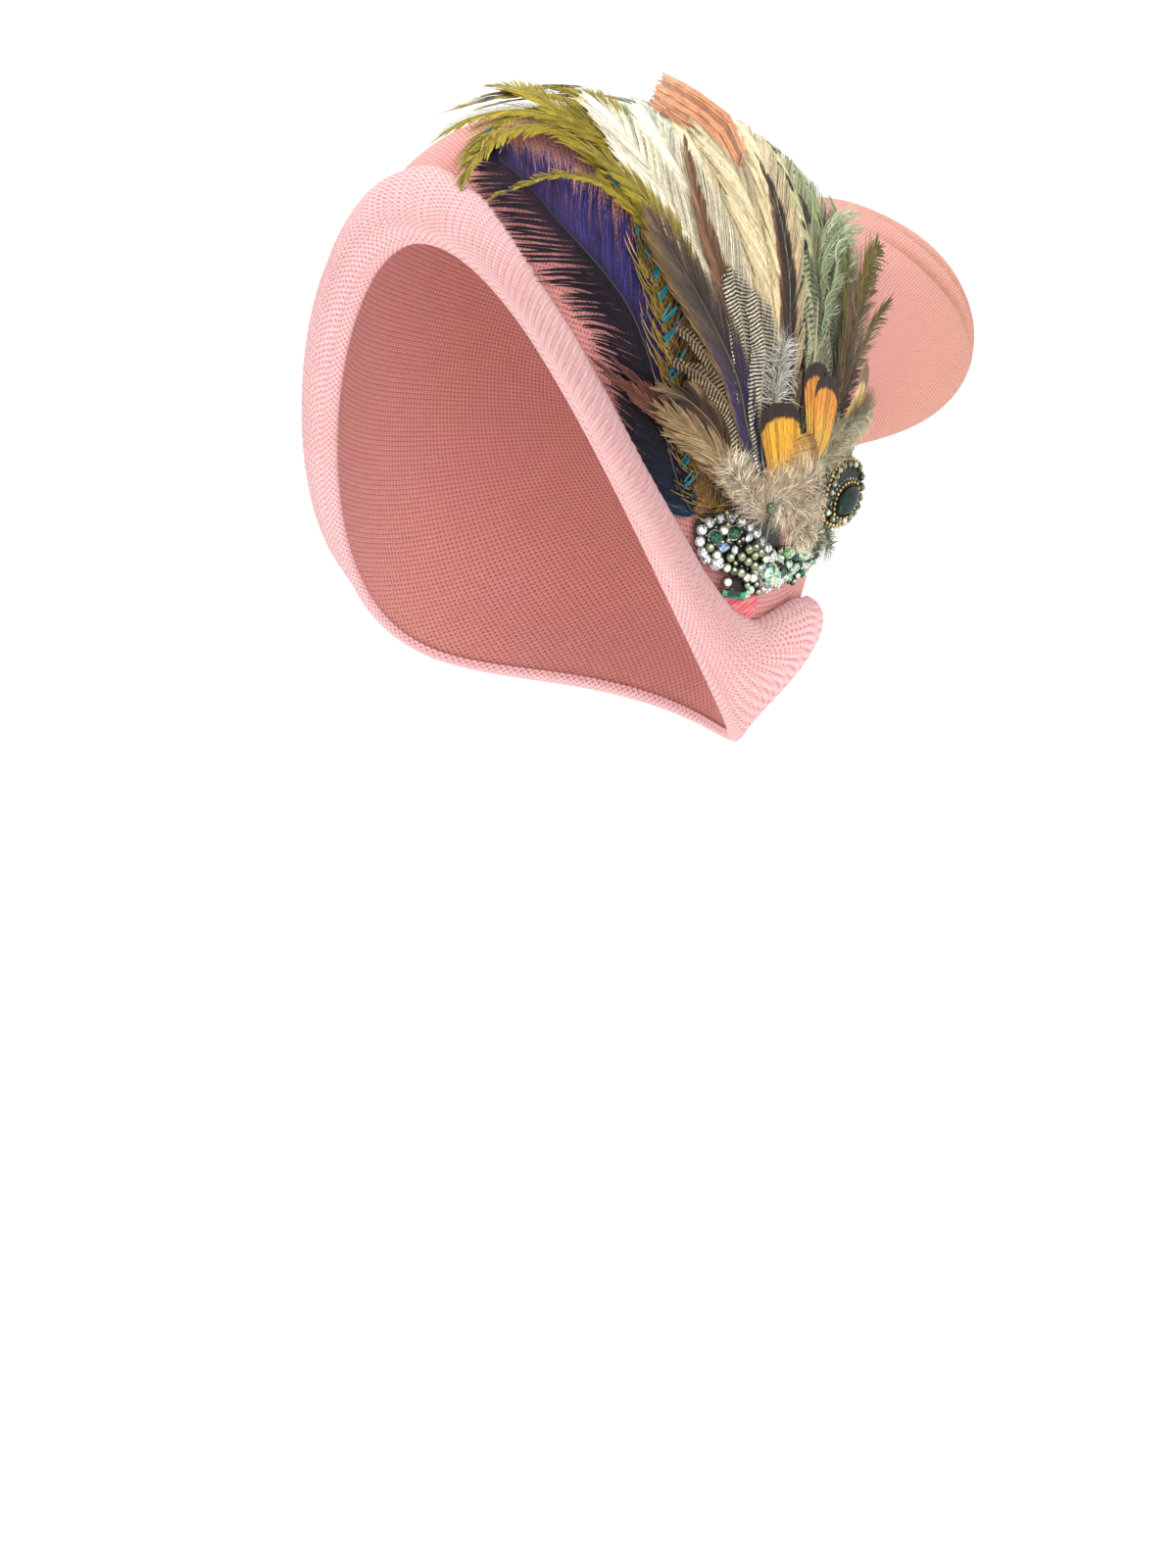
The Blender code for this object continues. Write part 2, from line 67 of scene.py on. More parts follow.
def crown_at(around, up):
    """Point of the crown's outer face in mm: degrees towards the wearer's left, and sections up."""
    up = np.clip(np.asarray(up, float), 0, len(SECTIONS) - 1)
    rows = np.vstack([2 * SECTIONS[0] - SECTIONS[1], SECTIONS, 2 * SECTIONS[-1] - SECTIONS[-2]])
    k = np.minimum(up.astype(int), len(SECTIONS) - 2)
    f = (up - k)[..., None]
    row = between(*(rows[k + i] for i in range(4)), f)
    fy, fz, sx, sy, sz, by, bz, lean = np.moveaxis(row, -1, 0)
    turn = np.radians(np.asarray(around, float))
    cos, sin, double = np.cos(turn), np.sin(turn), np.cos(2 * turn)

    def blend(front, side, back):
        middle = (front + back) / 2
        return (middle + side) / 2 + (front - back) / 2 * cos + (middle - side) / 2 * double

    egg = 1 - EGG * cos * np.clip(1 - up / 6, 0, 1)
    return np.stack([sx * sin * egg + lean, blend(fy, sy, by), blend(fz, sz, bz)], -1)


def unit(vectors):
    return vectors / np.linalg.norm(vectors, axis=-1, keepdims=True)


def slopes(around, up):
    """How the outer face moves for a degree round and for a section up, mm."""
    near = 0.02
    low, high = np.clip(up - near, 0, 10 - near), np.clip(up + near, near, 10)
    side = crown_at(around + 0.5, up) - crown_at(around - 0.5, up)
    rise = (crown_at(around, high) - crown_at(around, low)) / (high - low)[..., None]
    return side, rise


def on_crown(around, up, out=0.0):
    """Point standing off the outer face, mm."""
    around, up = np.broadcast_arrays(np.asarray(around, float), np.asarray(up, float))
    normal = unit(np.cross(*slopes(around, up)))
    return crown_at(around, up) + normal * np.asarray(out, float)[..., None]


def shape(name, bm, *finishes):
    """Turn a bmesh into a smooth piece of the hat."""
    mesh = bpy.data.meshes.new(name)
    bm.to_mesh(mesh)
    bm.free()
    piece = bpy.data.objects.new(name, mesh)
    bpy.context.scene.collection.objects.link(piece)
    for finish in finishes:
        mesh.materials.append(finish)
    mesh.shade_smooth()
    return piece


def drape(name, across, along, place, lay, *finishes):
    """A grid laid where place(s, t) says, in mm, with its UV map from lay(s, t)."""
    bm = bmesh.new()
    bmesh.ops.create_grid(bm, x_segments=across, y_segments=along, size=0.5)
    share = np.array([v.co[:2] for v in bm.verts]) + 0.5
    spots = place(share[:, 0], share[:, 1]) * MM
    cloth = lay(share[:, 0], share[:, 1], spots / MM)
    bm.verts.ensure_lookup_table()
    uv = bm.loops.layers.uv.new("UVMap")
    for face in bm.faces:
        for loop in face.loops:
            loop[uv].uv = cloth[loop.vert.index]
    for vert, spot in zip(bm.verts, spots):
        vert.co = spot
    bmesh.ops.remove_doubles(bm, verts=bm.verts, dist=1e-6)
    bmesh.ops.recalc_face_normals(bm, faces=bm.faces)
    return shape(name, bm, *finishes)


def thicken(piece, thick):
    """Give a sheet its thickness, inwards."""
    ply = piece.modifiers.new("ply", "SOLIDIFY")
    ply.thickness, ply.offset = thick * MM, -1


def keep_on(mesh, name, domain, values):
    """Keep one number for each point or face on the mesh, for a material to read."""
    layer = mesh.attributes.new(name, "FLOAT", domain)
    layer.data.foreach_set("value", values.astype(np.float32))


def tint(red, green, blue):
    """A colour as seen, 0 to 255, as the shader wants it."""
    return tuple((c / 255 / 12.92 if c < 11 else ((c / 255 + 0.055) / 1.055) ** 2.4)
                 for c in (red, green, blue))


class Finish:
    """A material in the making: each call adds one shader node and gives back its output."""

    def __init__(self, name, rough, **sockets):
        self.made = bpy.data.materials.new(name)
        self.made.use_nodes = True
        self.tree = self.made.node_tree
        self.shader = self.tree.nodes["Principled BSDF"]
        self.shader.inputs["Roughness"].default_value = rough
        for socket, value in sockets.items():
            self.shader.inputs[socket.replace("_", " ")].default_value = value

    def add(self, kind, *inputs, out=0, **settings):
        node = self.tree.nodes.new("ShaderNode" + kind)
        for key, value in settings.items():
            setattr(node, key, value)
        for socket, value in zip(node.inputs, inputs):
            if isinstance(value, bpy.types.NodeSocket):
                self.tree.links.new(value, socket)
            elif value is not None:
                socket.default_value = value
        return node.outputs[out]

    def sum(self, operation, a, b=0.0, c=0.0):
        return self.add("Math", a, b, c, operation=operation)

    def split(self, vector):
        parts = self.add("SeparateXYZ", vector).node.outputs
        return parts[0], parts[1], parts[2]

    def spread(self, value, low, high, start=0.0, end=1.0):
        """A value carried smoothly from one range to another."""
        return self.add("MapRange", value, low, high, start, end, interpolation_type="SMOOTHSTEP")

    def far(self, x, y):
        """How far a place is from the middle."""
        return self.sum("SQRT", self.sum("ADD", self.sum("MULTIPLY", x, x),
                                         self.sum("MULTIPLY", y, y)))

    def mix(self, share, a, b):
        node = self.tree.nodes.new("ShaderNodeMix")
        node.data_type = "RGBA"
        for socket, value in zip((node.inputs[0], node.inputs[6], node.inputs[7]), (share, a, b)):
            if isinstance(value, bpy.types.NodeSocket):
                self.tree.links.new(value, socket)
            else:
                socket.default_value = (*value, 1) if isinstance(value, tuple) else value
        return node.outputs[2]

    def ramp(self, value, stops):
        """A run of colours; each stop is its place and its red, green and blue."""
        node = self.add("ValToRGB", value).node
        while len(node.color_ramp.elements) < len(stops):
            node.color_ramp.elements.new(1.0)
        for element, (spot, *colour) in zip(node.color_ramp.elements, stops):
            element.position, element.color = spot, (*tint(*colour), 1)
        return node.outputs[0]

    def grain(self, scale, where=None, detail=3.0, squeeze=None):
        """Noise between 0 and 1, on object coordinates unless another place is given."""
        where = where or self.add("TexCoord", out=3)
        if squeeze:
            where = self.add("Mapping", where, None, None, squeeze)
        return self.add("TexNoise", where, None, scale, detail, 0.6)

    def done(self, colour, *reliefs):
        """Set the colour and a chain of bumps, each (height, how deep in mm)."""
        self.tree.links.new(colour, self.shader.inputs["Base Color"])
        normal = None
        for height, depth in reliefs:
            normal = self.bump(height, depth, normal)
        if normal:
            self.tree.links.new(normal, self.shader.inputs["Normal"])
        return self.made

    def bump(self, height, depth, under):
        node = self.tree.nodes.new("ShaderNodeBump")
        node.inputs["Distance"].default_value = depth * MM
        self.tree.links.new(height, node.inputs["Height"])
        if under:
            self.tree.links.new(under, node.inputs["Normal"])
        return node.outputs[0]


def knit(name, light, deep, back, painted_shade, hole_size):
    """Knit with staggered open stitches, with painted shade in its holes, loops, creases and
    pleats; the UV map counts wales across and mm up.
    """
    mat = Finish(name, 0.92, Sheen_Weight=0.35, Sheen_Roughness=0.5, Sheen_Tint=(1, 0.86, 0.84, 1))
    across, up, _ = mat.split(mat.add("UVMap"))
    rows = mat.sum("DIVIDE", up, COURSE)
    holes = None
    for shift in (0.0, 0.5):
        x, y = (mat.sum("SUBTRACT", mat.sum("FRACT", mat.sum("ADD", count, shift)), 0.5)
                for count in (across, rows))
        hole = mat.spread(mat.far(x, y), hole_size * 0.45, hole_size, 1.0, 0.0)
        holes = hole if holes is None else mat.sum("MAXIMUM", holes, hole)
    leg = mat.sum("SUBTRACT", mat.sum("FRACT", mat.sum("MULTIPLY", across, 2.0)), 0.5)
    leg = mat.sum("MULTIPLY_ADD", rows, 2.0, mat.sum("ABSOLUTE", leg))
    loop = mat.sum("SINE", mat.sum("MULTIPLY", leg, 2 * math.pi))
    fibre = mat.grain(2600.0)
    cloud = mat.grain(16.0, detail=2.0)
    _, behind, _ = mat.split(mat.add("TexCoord", out=3))
    colour = mat.mix(mat.spread(cloud, 0.35, 0.65), light, deep)
    colour = mat.mix(mat.spread(behind, 0.06, 0.13), colour, back)
    # painted shade: the creases over the pouch are darkened olive brown
    fold = mat.add("Attribute", attribute_name="fold", out=2)
    colour = mat.mix(mat.sum("MULTIPLY", fold, 0.8), colour, tint(200, 146, 96))
    plain = mat.spread(up, GATHER - 32, GATHER - 12, 1.0, 0.0)  # stitches fade into the gather
    holes, loop = (mat.sum("MULTIPLY", x, plain) for x in (holes, loop))
    # painted shade between the stitch loops and in the open stitches, and fine fibre speckle in the
    # same colour
    colour = mat.mix(mat.spread(loop, -1.0, 1.0, 0.22, 0.0), colour, painted_shade)
    colour = mat.mix(mat.sum("MULTIPLY", holes, 0.95), colour, painted_shade)
    colour = mat.mix(mat.spread(fibre, 0.3, 0.7, 0.12, 0.0), colour, painted_shade)
    # Where the stitches fade into the gather, the colour is darkened to their average, painted
    # shade of the holes included, and each little pleat gets painted shade in its hollow
    pleat = mat.sum("SINE", mat.sum("MULTIPLY", across, 2 * math.pi * PLEATS / WALES))
    drawn = mat.sum("SUBTRACT", 1.0, plain)
    pleat = mat.sum("MULTIPLY", mat.spread(pleat, -1.0, 1.0, 0.3, 0.0), drawn)
    colour = mat.mix(mat.sum("MULTIPLY", drawn, 0.8), colour, tint(208, 144, 124))
    colour = mat.mix(pleat, colour, painted_shade)
    return mat.done(colour, (mat.sum("SUBTRACT", mat.sum("MULTIPLY", loop, 0.3), holes), 0.45),
                    (fibre, 0.12), (pleat, 0.8))


def wales_and_mm(spots, rows):
    """UV of a knit: wales counted evenly round each row, and mm of cloth up from the rim."""
    grid = spots.reshape(rows + 1, -1, 3)
    step = np.linalg.norm(np.diff(grid, axis=1), axis=2)
    run = np.hstack([np.zeros((rows + 1, 1)), np.cumsum(step, 1)])
    even = np.linspace(0, 1, run.shape[1])
    run = np.where(run[:, -1:] < 0.1, even, run / np.maximum(run[:, -1:], 1e-6))
    climb = np.linalg.norm(np.diff(grid, axis=0), axis=2).mean(1)
    mm = np.concatenate([[0], np.cumsum(climb)])
    return np.stack([(run * WALES).ravel(), np.repeat(mm, grid.shape[1])], -1)


# creases that run back over the pouch, as around and up
FOLDS = [np.array([(38, 6.3), (49, 6.75), (60, 7.3), (71, 7.68), (84, 7.95)]),
         np.array([(20, 6.9), (33, 7.2), (45, 7.62), (58, 7.95), (72, 8.15), (88, 8.4)])]


def crease_at(around, up):
    """How deep in a fold a place is, 0 to 1."""
    deep = np.zeros(np.shape(around))
    for line in FOLDS:
        path = np.stack([np.interp(np.linspace(0, len(line) - 1, 60), np.arange(len(line)), c)
                         for c in line.T], -1)
        far = np.hypot((around[..., None] - path[:, 0]) * 0.9, (up[..., None] - path[:, 1]) * 26)
        ends = np.sin(np.linspace(0.12, 0.9, 60) * math.pi)
        deep = np.maximum(deep, (np.exp(-(far / 2.4) ** 2) * ends).max(-1))
    return deep


def creased(s, t):
    """The outer face with its creases let in, closed at the gathered end."""
    around, up = s * 360 - 180, t * 10
    sunk = on_crown(around, np.minimum(up, 9.95), -1.8 * crease_at(around, up))
    return np.where(t[:, None] > 0.999, crown_at(around, up), sunk)


crown = drape("crown_knit", 280, 150, creased, lambda s, t, spots: wales_and_mm(spots, 150),
              knit("coral_knit", tint(250, 176, 172), tint(249, 178, 164), tint(254, 184, 158),
                   tint(212, 108, 104), 0.24))
# the painted shade of the folds is kept on the mesh, found from a fine net of places round the
# creases
places = np.array([v.co[:] for v in crown.data.vertices]) / MM
net_around, net_up = (x.ravel() for x in np.meshgrid(
    np.arange(-10, 110, 1.0), np.arange(5.6, 9.2, 0.05), indexing="ij"))
depth = crease_at(net_around, net_up)
marked, depth = crown_at(net_around, net_up)[depth > 0.05], depth[depth > 0.05]
fold = np.zeros(len(places))
for chunk in np.array_split(np.arange(len(places)), 60):
    gap = np.linalg.norm(places[chunk][:, None] - marked[None], axis=2)
    fold[chunk] = depth[gap.argmin(1)] * (gap.min(1) < 2.5)
keep_on(crown.data, "fold", "POINT", fold)
thicken(crown, WALL)
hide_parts("knit_crown")
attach(crown, "root")

# Rolled brim. The edge of the same knit in a paler pink, rolled up on itself two or three turns
# and let go soft, so its open stitches run in lines across the roll.
# degrees round, climb in sections, bulge in mm, and how far the bulge is pushed to the top edge
ROLL = np.array([
    (0, 1.05, 11.0, 1.0), (15, 0.92, 10.5, 1.0), (30, 0.68, 9.0, 1.0), (60, 0.58, 8.2, 1.0),
    (78, 0.6, 8.2, 1.0), (88, 0.7, 8.6, 1.2), (96, 0.94, 9.2, 1.6), (103, 1.36, 9.4, 2.1),
    (110, 1.68, 9.4, 2.6), (122, 1.92, 8.6, 3.4), (140, 1.96, 7.6, 3.4), (180, 1.9, 7.2, 3.0)])
SEAT = 0.45             # between the crown and what is sewn to it
ROLL_EDGE = 1.1         # how much further off the roll's face is at its two edges
FOLD_END, FACE_END = 0.12, 0.78     # shares of the cloth: the fold under the rim, then the face


def roll_at(s, t):
    """The roll's face: round the hat with s; t goes under the rim, over the roll and back."""
    around = s * 360 - 180
    climb, bulge, push = (np.interp(np.abs(around), ROLL[:, 0], ROLL[:, k]) for k in (1, 2, 3))
    outer = np.clip((t - FOLD_END) / (FACE_END - FOLD_END), 0, 1)
    q = (1 - np.cos(outer * math.pi)) / 2
    out = SEAT + ROLL_EDGE + bulge * np.sqrt(np.clip(1 - (2 * q ** push - 1) ** 2, 0, 1))
    out = out + 0.34 * np.cos(2 * math.pi * s * WALES) * np.sin(outer * math.pi) ** 0.5
    inner = np.clip((t - FACE_END) / (1 - FACE_END), 0, 1)
    edge = np.minimum(1, np.minimum(inner, 1 - inner) / 0.08)
    out = np.where(t > FACE_END, SEAT + 0.1 + (ROLL_EDGE - 0.1) * (1 - edge), out)
    # the fold under the rim: an arc from inside the hat out to the roll's face
    fold = np.clip(t / FOLD_END, 0, 1)
    inside, reach = -WALL - 1.2, SEAT + ROLL_EDGE
    arc = inside + (reach - inside) * (1 - np.cos(fold * math.pi)) / 2
    out = np.where(t < FOLD_END, arc, out)
    q = np.where(t > FACE_END, 1 - inner, q)
    upwards = unit(slopes(around, climb * q)[1])
    deep = np.interp(np.abs(around), (0, 30, 90, 125, 180), (2.2, 1.4, 1.6, 2.6, 2.6))
    drop = np.where(t < FOLD_END, deep * np.sin(fold * math.pi) ** 0.6, 0.0)
    drop = np.where(t > FACE_END, 0.5 * np.clip((inner - 0.9) / 0.1, 0, 1), drop)
    q = np.where(t < FOLD_END, 0.0, q)
    return on_crown(around, climb * q, out) - upwards * drop[..., None]


brim = drape("brim_roll", 1380, 44, roll_at, lambda s, t, spots: wales_and_mm(spots, 44),
             knit("pale_pink_knit", tint(249, 208, 207), tint(248, 202, 201), tint(240, 186, 190),
                  tint(226, 134, 140), 0.27))
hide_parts("rolled_brim")
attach(brim, "root")

# Felt under the fan. A round of black wool felt sewn flat to the side of the crown; every quill
# is glued and stitched to it, and nothing of it shows once the fan is on.
MOTIF = (88, 1.42)      # where the beadwork is set out from, as around and up
ALONG, UP = 1.96, 27.9  # mm for a degree and for a section there
FELT = 1.2


def by_motif(x, y, out):
    """Point by mm along and mm up from the beadwork's middle, standing off the crown."""
    return on_crown(MOTIF[0] + x / ALONG, MOTIF[1] + y / UP, out)


def felted(name, dark, light):
    mat = Finish(name, 0.97, Sheen_Weight=0.4, Sheen_Roughness=0.6)
    wool = mat.grain(900.0, detail=6.0)
    return mat.done(mat.mix(mat.spread(wool, 0.35, 0.7), dark, light), (wool, 0.25))


felt = drape("felt_round", 48, 10,
             lambda s, t: by_motif(-7 + 25 * t * np.cos(s * 2 * math.pi),
                                   14 + 25 * t * np.sin(s * 2 * math.pi), SEAT + FELT),
             lambda s, t, spots: np.stack([s * 80, t * 25], -1),
             felted("black_felt", tint(22, 22, 24), tint(52, 50, 54)))
thicken(felt, FELT)
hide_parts("felt_backing")
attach(felt, "root")

# Feathers. Each is a tapering quill with two rows of barbs, lying flat on the one below it and
# following the crown; the quills all end on the felt. Real ones split into locks at the edge.
FAN = SEAT + FELT + 0.7     # where the lowest feathers lie, off the crown
PLY = 1.15              # from one layer of feathers to the next


def through(points, count):
    """A smooth line of that many places through the given ones."""
    points = np.array(points, float)
    hop = np.linalg.norm(np.diff(points * (1, 14), axis=0), axis=1)
    run = np.concatenate([[0], np.cumsum(hop)])
    at = np.interp(np.linspace(0, run[-1], count), run, np.arange(len(points)))
    ends = np.vstack([2 * points[0] - points[1], points, 2 * points[-1] - points[-2]])
    k = np.minimum(at.astype(int), len(points) - 2)
    return between(*(ends[k + i] for i in range(4)), (at - k)[:, None])


class Quill:
    """The line of a shaft over the crown, and places by mm along it, across it and off it."""

    def __init__(self, points, base, lift=(0.0, 0.3, 0.9)):
        count, spare = 60, 30       # places along it, and beyond its tip for the last barbs
        line = through(points, count)
        onward = line[-1] + (line[-1] - line[-4]) / 3 * np.arange(1, spare + 1)[:, None]
        self.line = np.vstack([line, onward])
        self.line[:, 1] = np.clip(self.line[:, 1], 0.05, 9.8)
        share = np.arange(len(self.line)) / (count - 1)
        self.height = base + np.interp(share, (0, 0.5, 1.0), lift)
        spots = on_crown(self.line[:, 0], self.line[:, 1], self.height)
        self.mm = np.concatenate([[0], np.cumsum(np.linalg.norm(np.diff(spots, axis=0), axis=1))])
        self.length = self.mm[count - 1]
        heading = np.gradient(self.line, axis=0)
        side, rise = slopes(self.line[:, 0], self.line[:, 1])
        run = side * heading[:, :1] + rise * heading[:, 1:]
        across = unit(np.cross(np.cross(side, rise), run))
        gram = np.array([[(side * side).sum(1), (side * rise).sum(1)],
                         [(side * rise).sum(1), (rise * rise).sum(1)]]).transpose(2, 0, 1)
        goal = np.stack([(across * side).sum(1), (across * rise).sum(1)], -1)
        self.step = np.linalg.solve(gram, goal[..., None])[..., 0]

    def at(self, along, across, out):
        column = [np.interp(along, self.mm, c) for c in (*self.line.T, *self.step.T, self.height)]
        around = column[0] + column[2] * across
        up = np.clip(column[1] + column[3] * across, 0.0, 9.8)
        return on_crown(around, up, column[4] + out)


def arrays(bm):
    """Corners and faces of a small form that is copied many times."""
    spots = np.array([v.co[:] for v in bm.verts])
    faces = [[v.index for v in f.verts] for f in bm.faces]
    bm.free()
    return spots, faces


def bundle(name, heap, *finishes):
    """One piece from a heap of rows; a row is a dict of arrays for the copies of one form."""
    points = np.vstack([h["points"].reshape(-1, 3) for h in heap]) * MM
    corners, sizes, slots, flat, shift = [], [], [], [], 0
    for h in heap:
        copies, each = h["points"].shape[:2]
        ring = np.array([i for f in h["faces"] for i in f])
        corners.append((ring[None] + np.arange(copies)[:, None] * each + shift).ravel())
        sizes.append(np.tile([len(f) for f in h["faces"]], copies))
        slots.append(np.full(copies * len(h["faces"]), h.get("slot", 0)))
        flat.append(np.full(copies * len(h["faces"]), h.get("flat", False)))
        shift += copies * each
    corners, sizes, slots, flat = (np.concatenate(x) for x in (corners, sizes, slots, flat))
    mesh = bpy.data.meshes.new(name)
    mesh.vertices.add(len(points))
    mesh.loops.add(len(corners))
    mesh.polygons.add(len(sizes))
    mesh.vertices.foreach_set("co", points.astype(np.float32).ravel())
    mesh.loops.foreach_set("vertex_index", corners.astype(np.int32))
    starts = np.concatenate([[0], np.cumsum(sizes)[:-1]])
    mesh.polygons.foreach_set("loop_start", starts.astype(np.int32))
    mesh.polygons.foreach_set("material_index", slots.astype(np.int32))
    for layer in ("UVMap", "Lay"):
        uv = np.vstack([h[layer].reshape(-1, 2) for h in heap])[corners]
        mesh.uv_layers.new(name=layer).data.foreach_set("uv", uv.astype(np.float32).ravel())
    strand = np.concatenate([np.repeat(h["strand"], h["points"].shape[1]) for h in heap])
    keep_on(mesh, "strand", "POINT", strand)
    keep_on(mesh, "facet", "FACE", np.random.default_rng(5).uniform(0, 1, len(sizes)))
    mesh.polygons.foreach_set("use_smooth", ~flat)
    mesh.update()
    mesh.validate()
    for finish in finishes:
        mesh.materials.append(finish)
    piece = bpy.data.objects.new(name, mesh)
    bpy.context.scene.collection.objects.link(piece)
    return piece


def ribbons(quill, along, across, off, width, tilt, u, t, tone, aside=0.0):
    """Flat strands by mm along, across and off a quill, one to a row, tilted like shingles."""
    spots = quill.at(along, across, off)
    face = quill.at(along, across + aside, off + 1) - spots
    steps = spots.shape[1] - 1
    bm = bmesh.new()
    bmesh.ops.create_grid(bm, x_segments=1, y_segments=steps, size=0.5)
    seed, faces = arrays(bm)
    k = np.rint((seed[:, 1] + 0.5) * steps).astype(int)
    beside = np.cross(face, np.gradient(spots, axis=1))
    beside /= np.maximum(np.linalg.norm(beside, axis=-1, keepdims=True), 1e-9)
    edge = (width[k] / 2 * seed[:, 0] * 2)[None, :, None]
    return {"points": spots[:, k] + beside[:, k] * edge + face[:, k] * edge * tilt,
            "faces": faces, "strand": tone, "Lay": np.stack([across, along], -1)[:, k],
            "UVMap": np.stack(np.broadcast_arrays(u, t), -1)[:, k]}


def steps_out(turn, reach, steps):
    """How far ahead and how far out a bent strand has come at each of its joints."""
    start = np.zeros((len(turn), 1))
    return (np.hstack([start, np.cumsum(way(turn[:, 1:]), 1)]) * reach[:, None] / steps
            for way in (np.cos, np.sin))


def barbs(quill, side, half, pitch, lean, thick, rng, start=0.06, bow=0.35, locks=9, pinch=0.25,
          ragged=0.05, lift=0.5, steps=8, close=0.1, notch=0.0):
    """One row of barbs along a quill; half is the vane's half width from root to tip, mm."""
    count = max(8, int(quill.length * (1 - start) / pitch))
    t = np.sort(start + (1 - start) * (np.arange(count) + rng.uniform(0, 0.7, count)) / count)
    turn = np.radians(np.interp(t, (0, 1), lean)) * (1 + rng.normal(0, 0.05, count))
    reach = np.interp(t, np.linspace(0, 1, len(half)), half) / np.sin(turn)
    lock = t * locks + rng.uniform()
    part = lock - np.floor(lock)
    reach *= 1 + rng.normal(0, ragged, count) - notch * np.abs(part - 0.35)
    turn *= np.clip((1 - t) / close, 0, 1) ** 0.6
    s = np.linspace(0, 1, steps + 1)
    ahead, out = steps_out(turn[:, None] * (1 - bow * s), reach, steps)
    middle = (np.floor(lock) + 0.5 - lock) / locks * quill.length
    along = t[:, None] * quill.length + ahead + middle[:, None] * pinch * s ** 1.5
    off = lift * s ** 2 + 0.1 + rng.normal(0, 0.14, (count, 1)) * s
    width = thick * np.clip((1.02 - s) / 0.35, 0.12, 1) ** 0.6
    slow = np.interp(t, np.linspace(0, 1, 40), rng.uniform(0, 1, 40))
    tone = np.clip(0.5 * slow + 0.5 * rng.uniform(0, 1, count), 0, 1)
    return ribbons(quill, along, side * out, off, width, -0.35 * side, side * s[None],
                   t[:, None], tone)


def stem(quill, thick, end=1.0):
    """The quill itself: a round stem from the root that tapers to nothing at the tip."""
    bm = bmesh.new()
    bmesh.ops.create_cone(bm, cap_ends=True, segments=6, radius1=1, radius2=1, depth=1)
    tall = [e for e in bm.edges if abs(e.verts[0].co.z - e.verts[1].co.z) > 0.5]
    bmesh.ops.subdivide_edges(bm, edges=tall, cuts=25, use_grid_fill=True)
    seed, faces = arrays(bm)
    s = seed[:, 2] + 0.5
    radius = thick / 2 * np.interp(s, (0, 0.02, 0.3, 0.97, 1), (0.5, 1, 0.8, 0.25, 0.05))
    points = quill.at(s * quill.length * end, seed[:, 0] * radius, 0.25 + seed[:, 1] * radius)
    flat = np.stack([s * 0, s], -1)[None]
    return {"points": points[None], "faces": faces, "UVMap": flat, "Lay": flat * quill.length,
            "strand": np.array([0.5]), "slot": 1}


def vane(name, along, edge=None, heart=None, bars=None, flecks=None, sheen=(1, 1, 1), rough=0.62):
    """Barb colours: stops from root to tip, an edge, a dark heart, bars, flecks."""
    mat = Finish(name, rough, Sheen_Weight=0.25, Sheen_Roughness=0.4, Sheen_Tint=(*sheen, 1),
                 Specular_IOR_Level=0.35)
    u, t, _ = mat.split(mat.add("UVMap", uv_map="UVMap"))
    across, down, _ = mat.split(mat.add("UVMap", uv_map="Lay"))
    share = mat.sum("ABSOLUTE", u)
    place = mat.add("UVMap", uv_map="Lay")
    colour = mat.ramp(t, along)
    if edge:
        colour = mat.mix(mat.spread(share, edge[0], edge[1]), colour, edge[2])
    if heart:
        colour = mat.mix(mat.spread(share, heart[0], heart[1], heart[3], 0.0), colour, heart[2])
    if bars:
        pitch, wobble, dark, cover = bars
        drift = mat.grain(0.22, place, detail=2.0)
        wave = mat.sum("SINE", mat.sum("MULTIPLY", mat.sum(
            "ADD", mat.sum("MULTIPLY_ADD", mat.sum("ABSOLUTE", across), 0.35, down),
            mat.sum("MULTIPLY", drift, wobble)), 2 * math.pi / pitch))
        colour = mat.mix(mat.spread(wave, cover - 0.25, cover + 0.25), colour, dark)
    if flecks:
        size, dark, low = flecks
        spots = mat.grain(size, place, detail=1.0, squeeze=(1.6, 0.6, 1))
        colour = mat.mix(mat.spread(spots, low, low + 0.06), colour, dark)
    tone = mat.add("Attribute", attribute_name="strand", out=2)
    fine = mat.grain(1.3, place, detail=4.0, squeeze=(1, 0.25, 1))
    value = mat.sum("MULTIPLY", mat.spread(tone, 0, 1, 0.42, 1.2),
                    mat.spread(fine, 0.3, 0.7, 0.74, 1.16))
    colour = mat.add("HueSaturation", 0.5, 1.0, value, 1.0, colour)
    return mat.done(colour, (fine, 0.15))


def quill_skin(name, colour):
    mat = Finish(name, 0.38, Specular_IOR_Level=0.5)
    streak = mat.grain(5.0, mat.add("UVMap", uv_map="Lay"), squeeze=(1, 0.1, 1))
    return mat.done(mat.mix(streak, tuple(c * 0.6 for c in colour), colour), (streak, 0.05))


def feather(name, node, slot, parts, along, shaft, *more, **marks):
    """A finished feather piece: its barbs' colours from root to tip, its quill's, more skins."""
    piece = bundle(name, parts, vane(name + "_barbs", along, **marks),
                   quill_skin(name + "_quill", tint(*shaft)), *more)
    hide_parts(node)
    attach(piece, "root")


def both_sides(quill, rng, high, low, *make, **more):
    """Two rows of barbs with the same make: pitch, lean and thickness."""
    return [barbs(quill, -1, high, *make, rng, **more), barbs(quill, 1, low, *make, rng, **more)]


def spray(seed, lines, base, wide, *make, step=0.0, arch=(0.0, 0.3, 0.9), **more):
    """Feathers one over another; each has its line and the half widths of one or both vanes."""
    rng = np.random.default_rng(seed)
    parts = []
    for k, (line, high, *low) in enumerate(lines):
        quill = Quill(line, base + step * k, arch)
        parts += both_sides(quill, rng, high, *(low or [high]), *make, **more)
        parts.append(stem(quill, wide))
    return parts


def nearest(row, count):
    """Only the strands of a row that are nearest the root."""
    return {**row, **{key: row[key][:count] for key in ("points", "UVMap", "Lay", "strand")}}


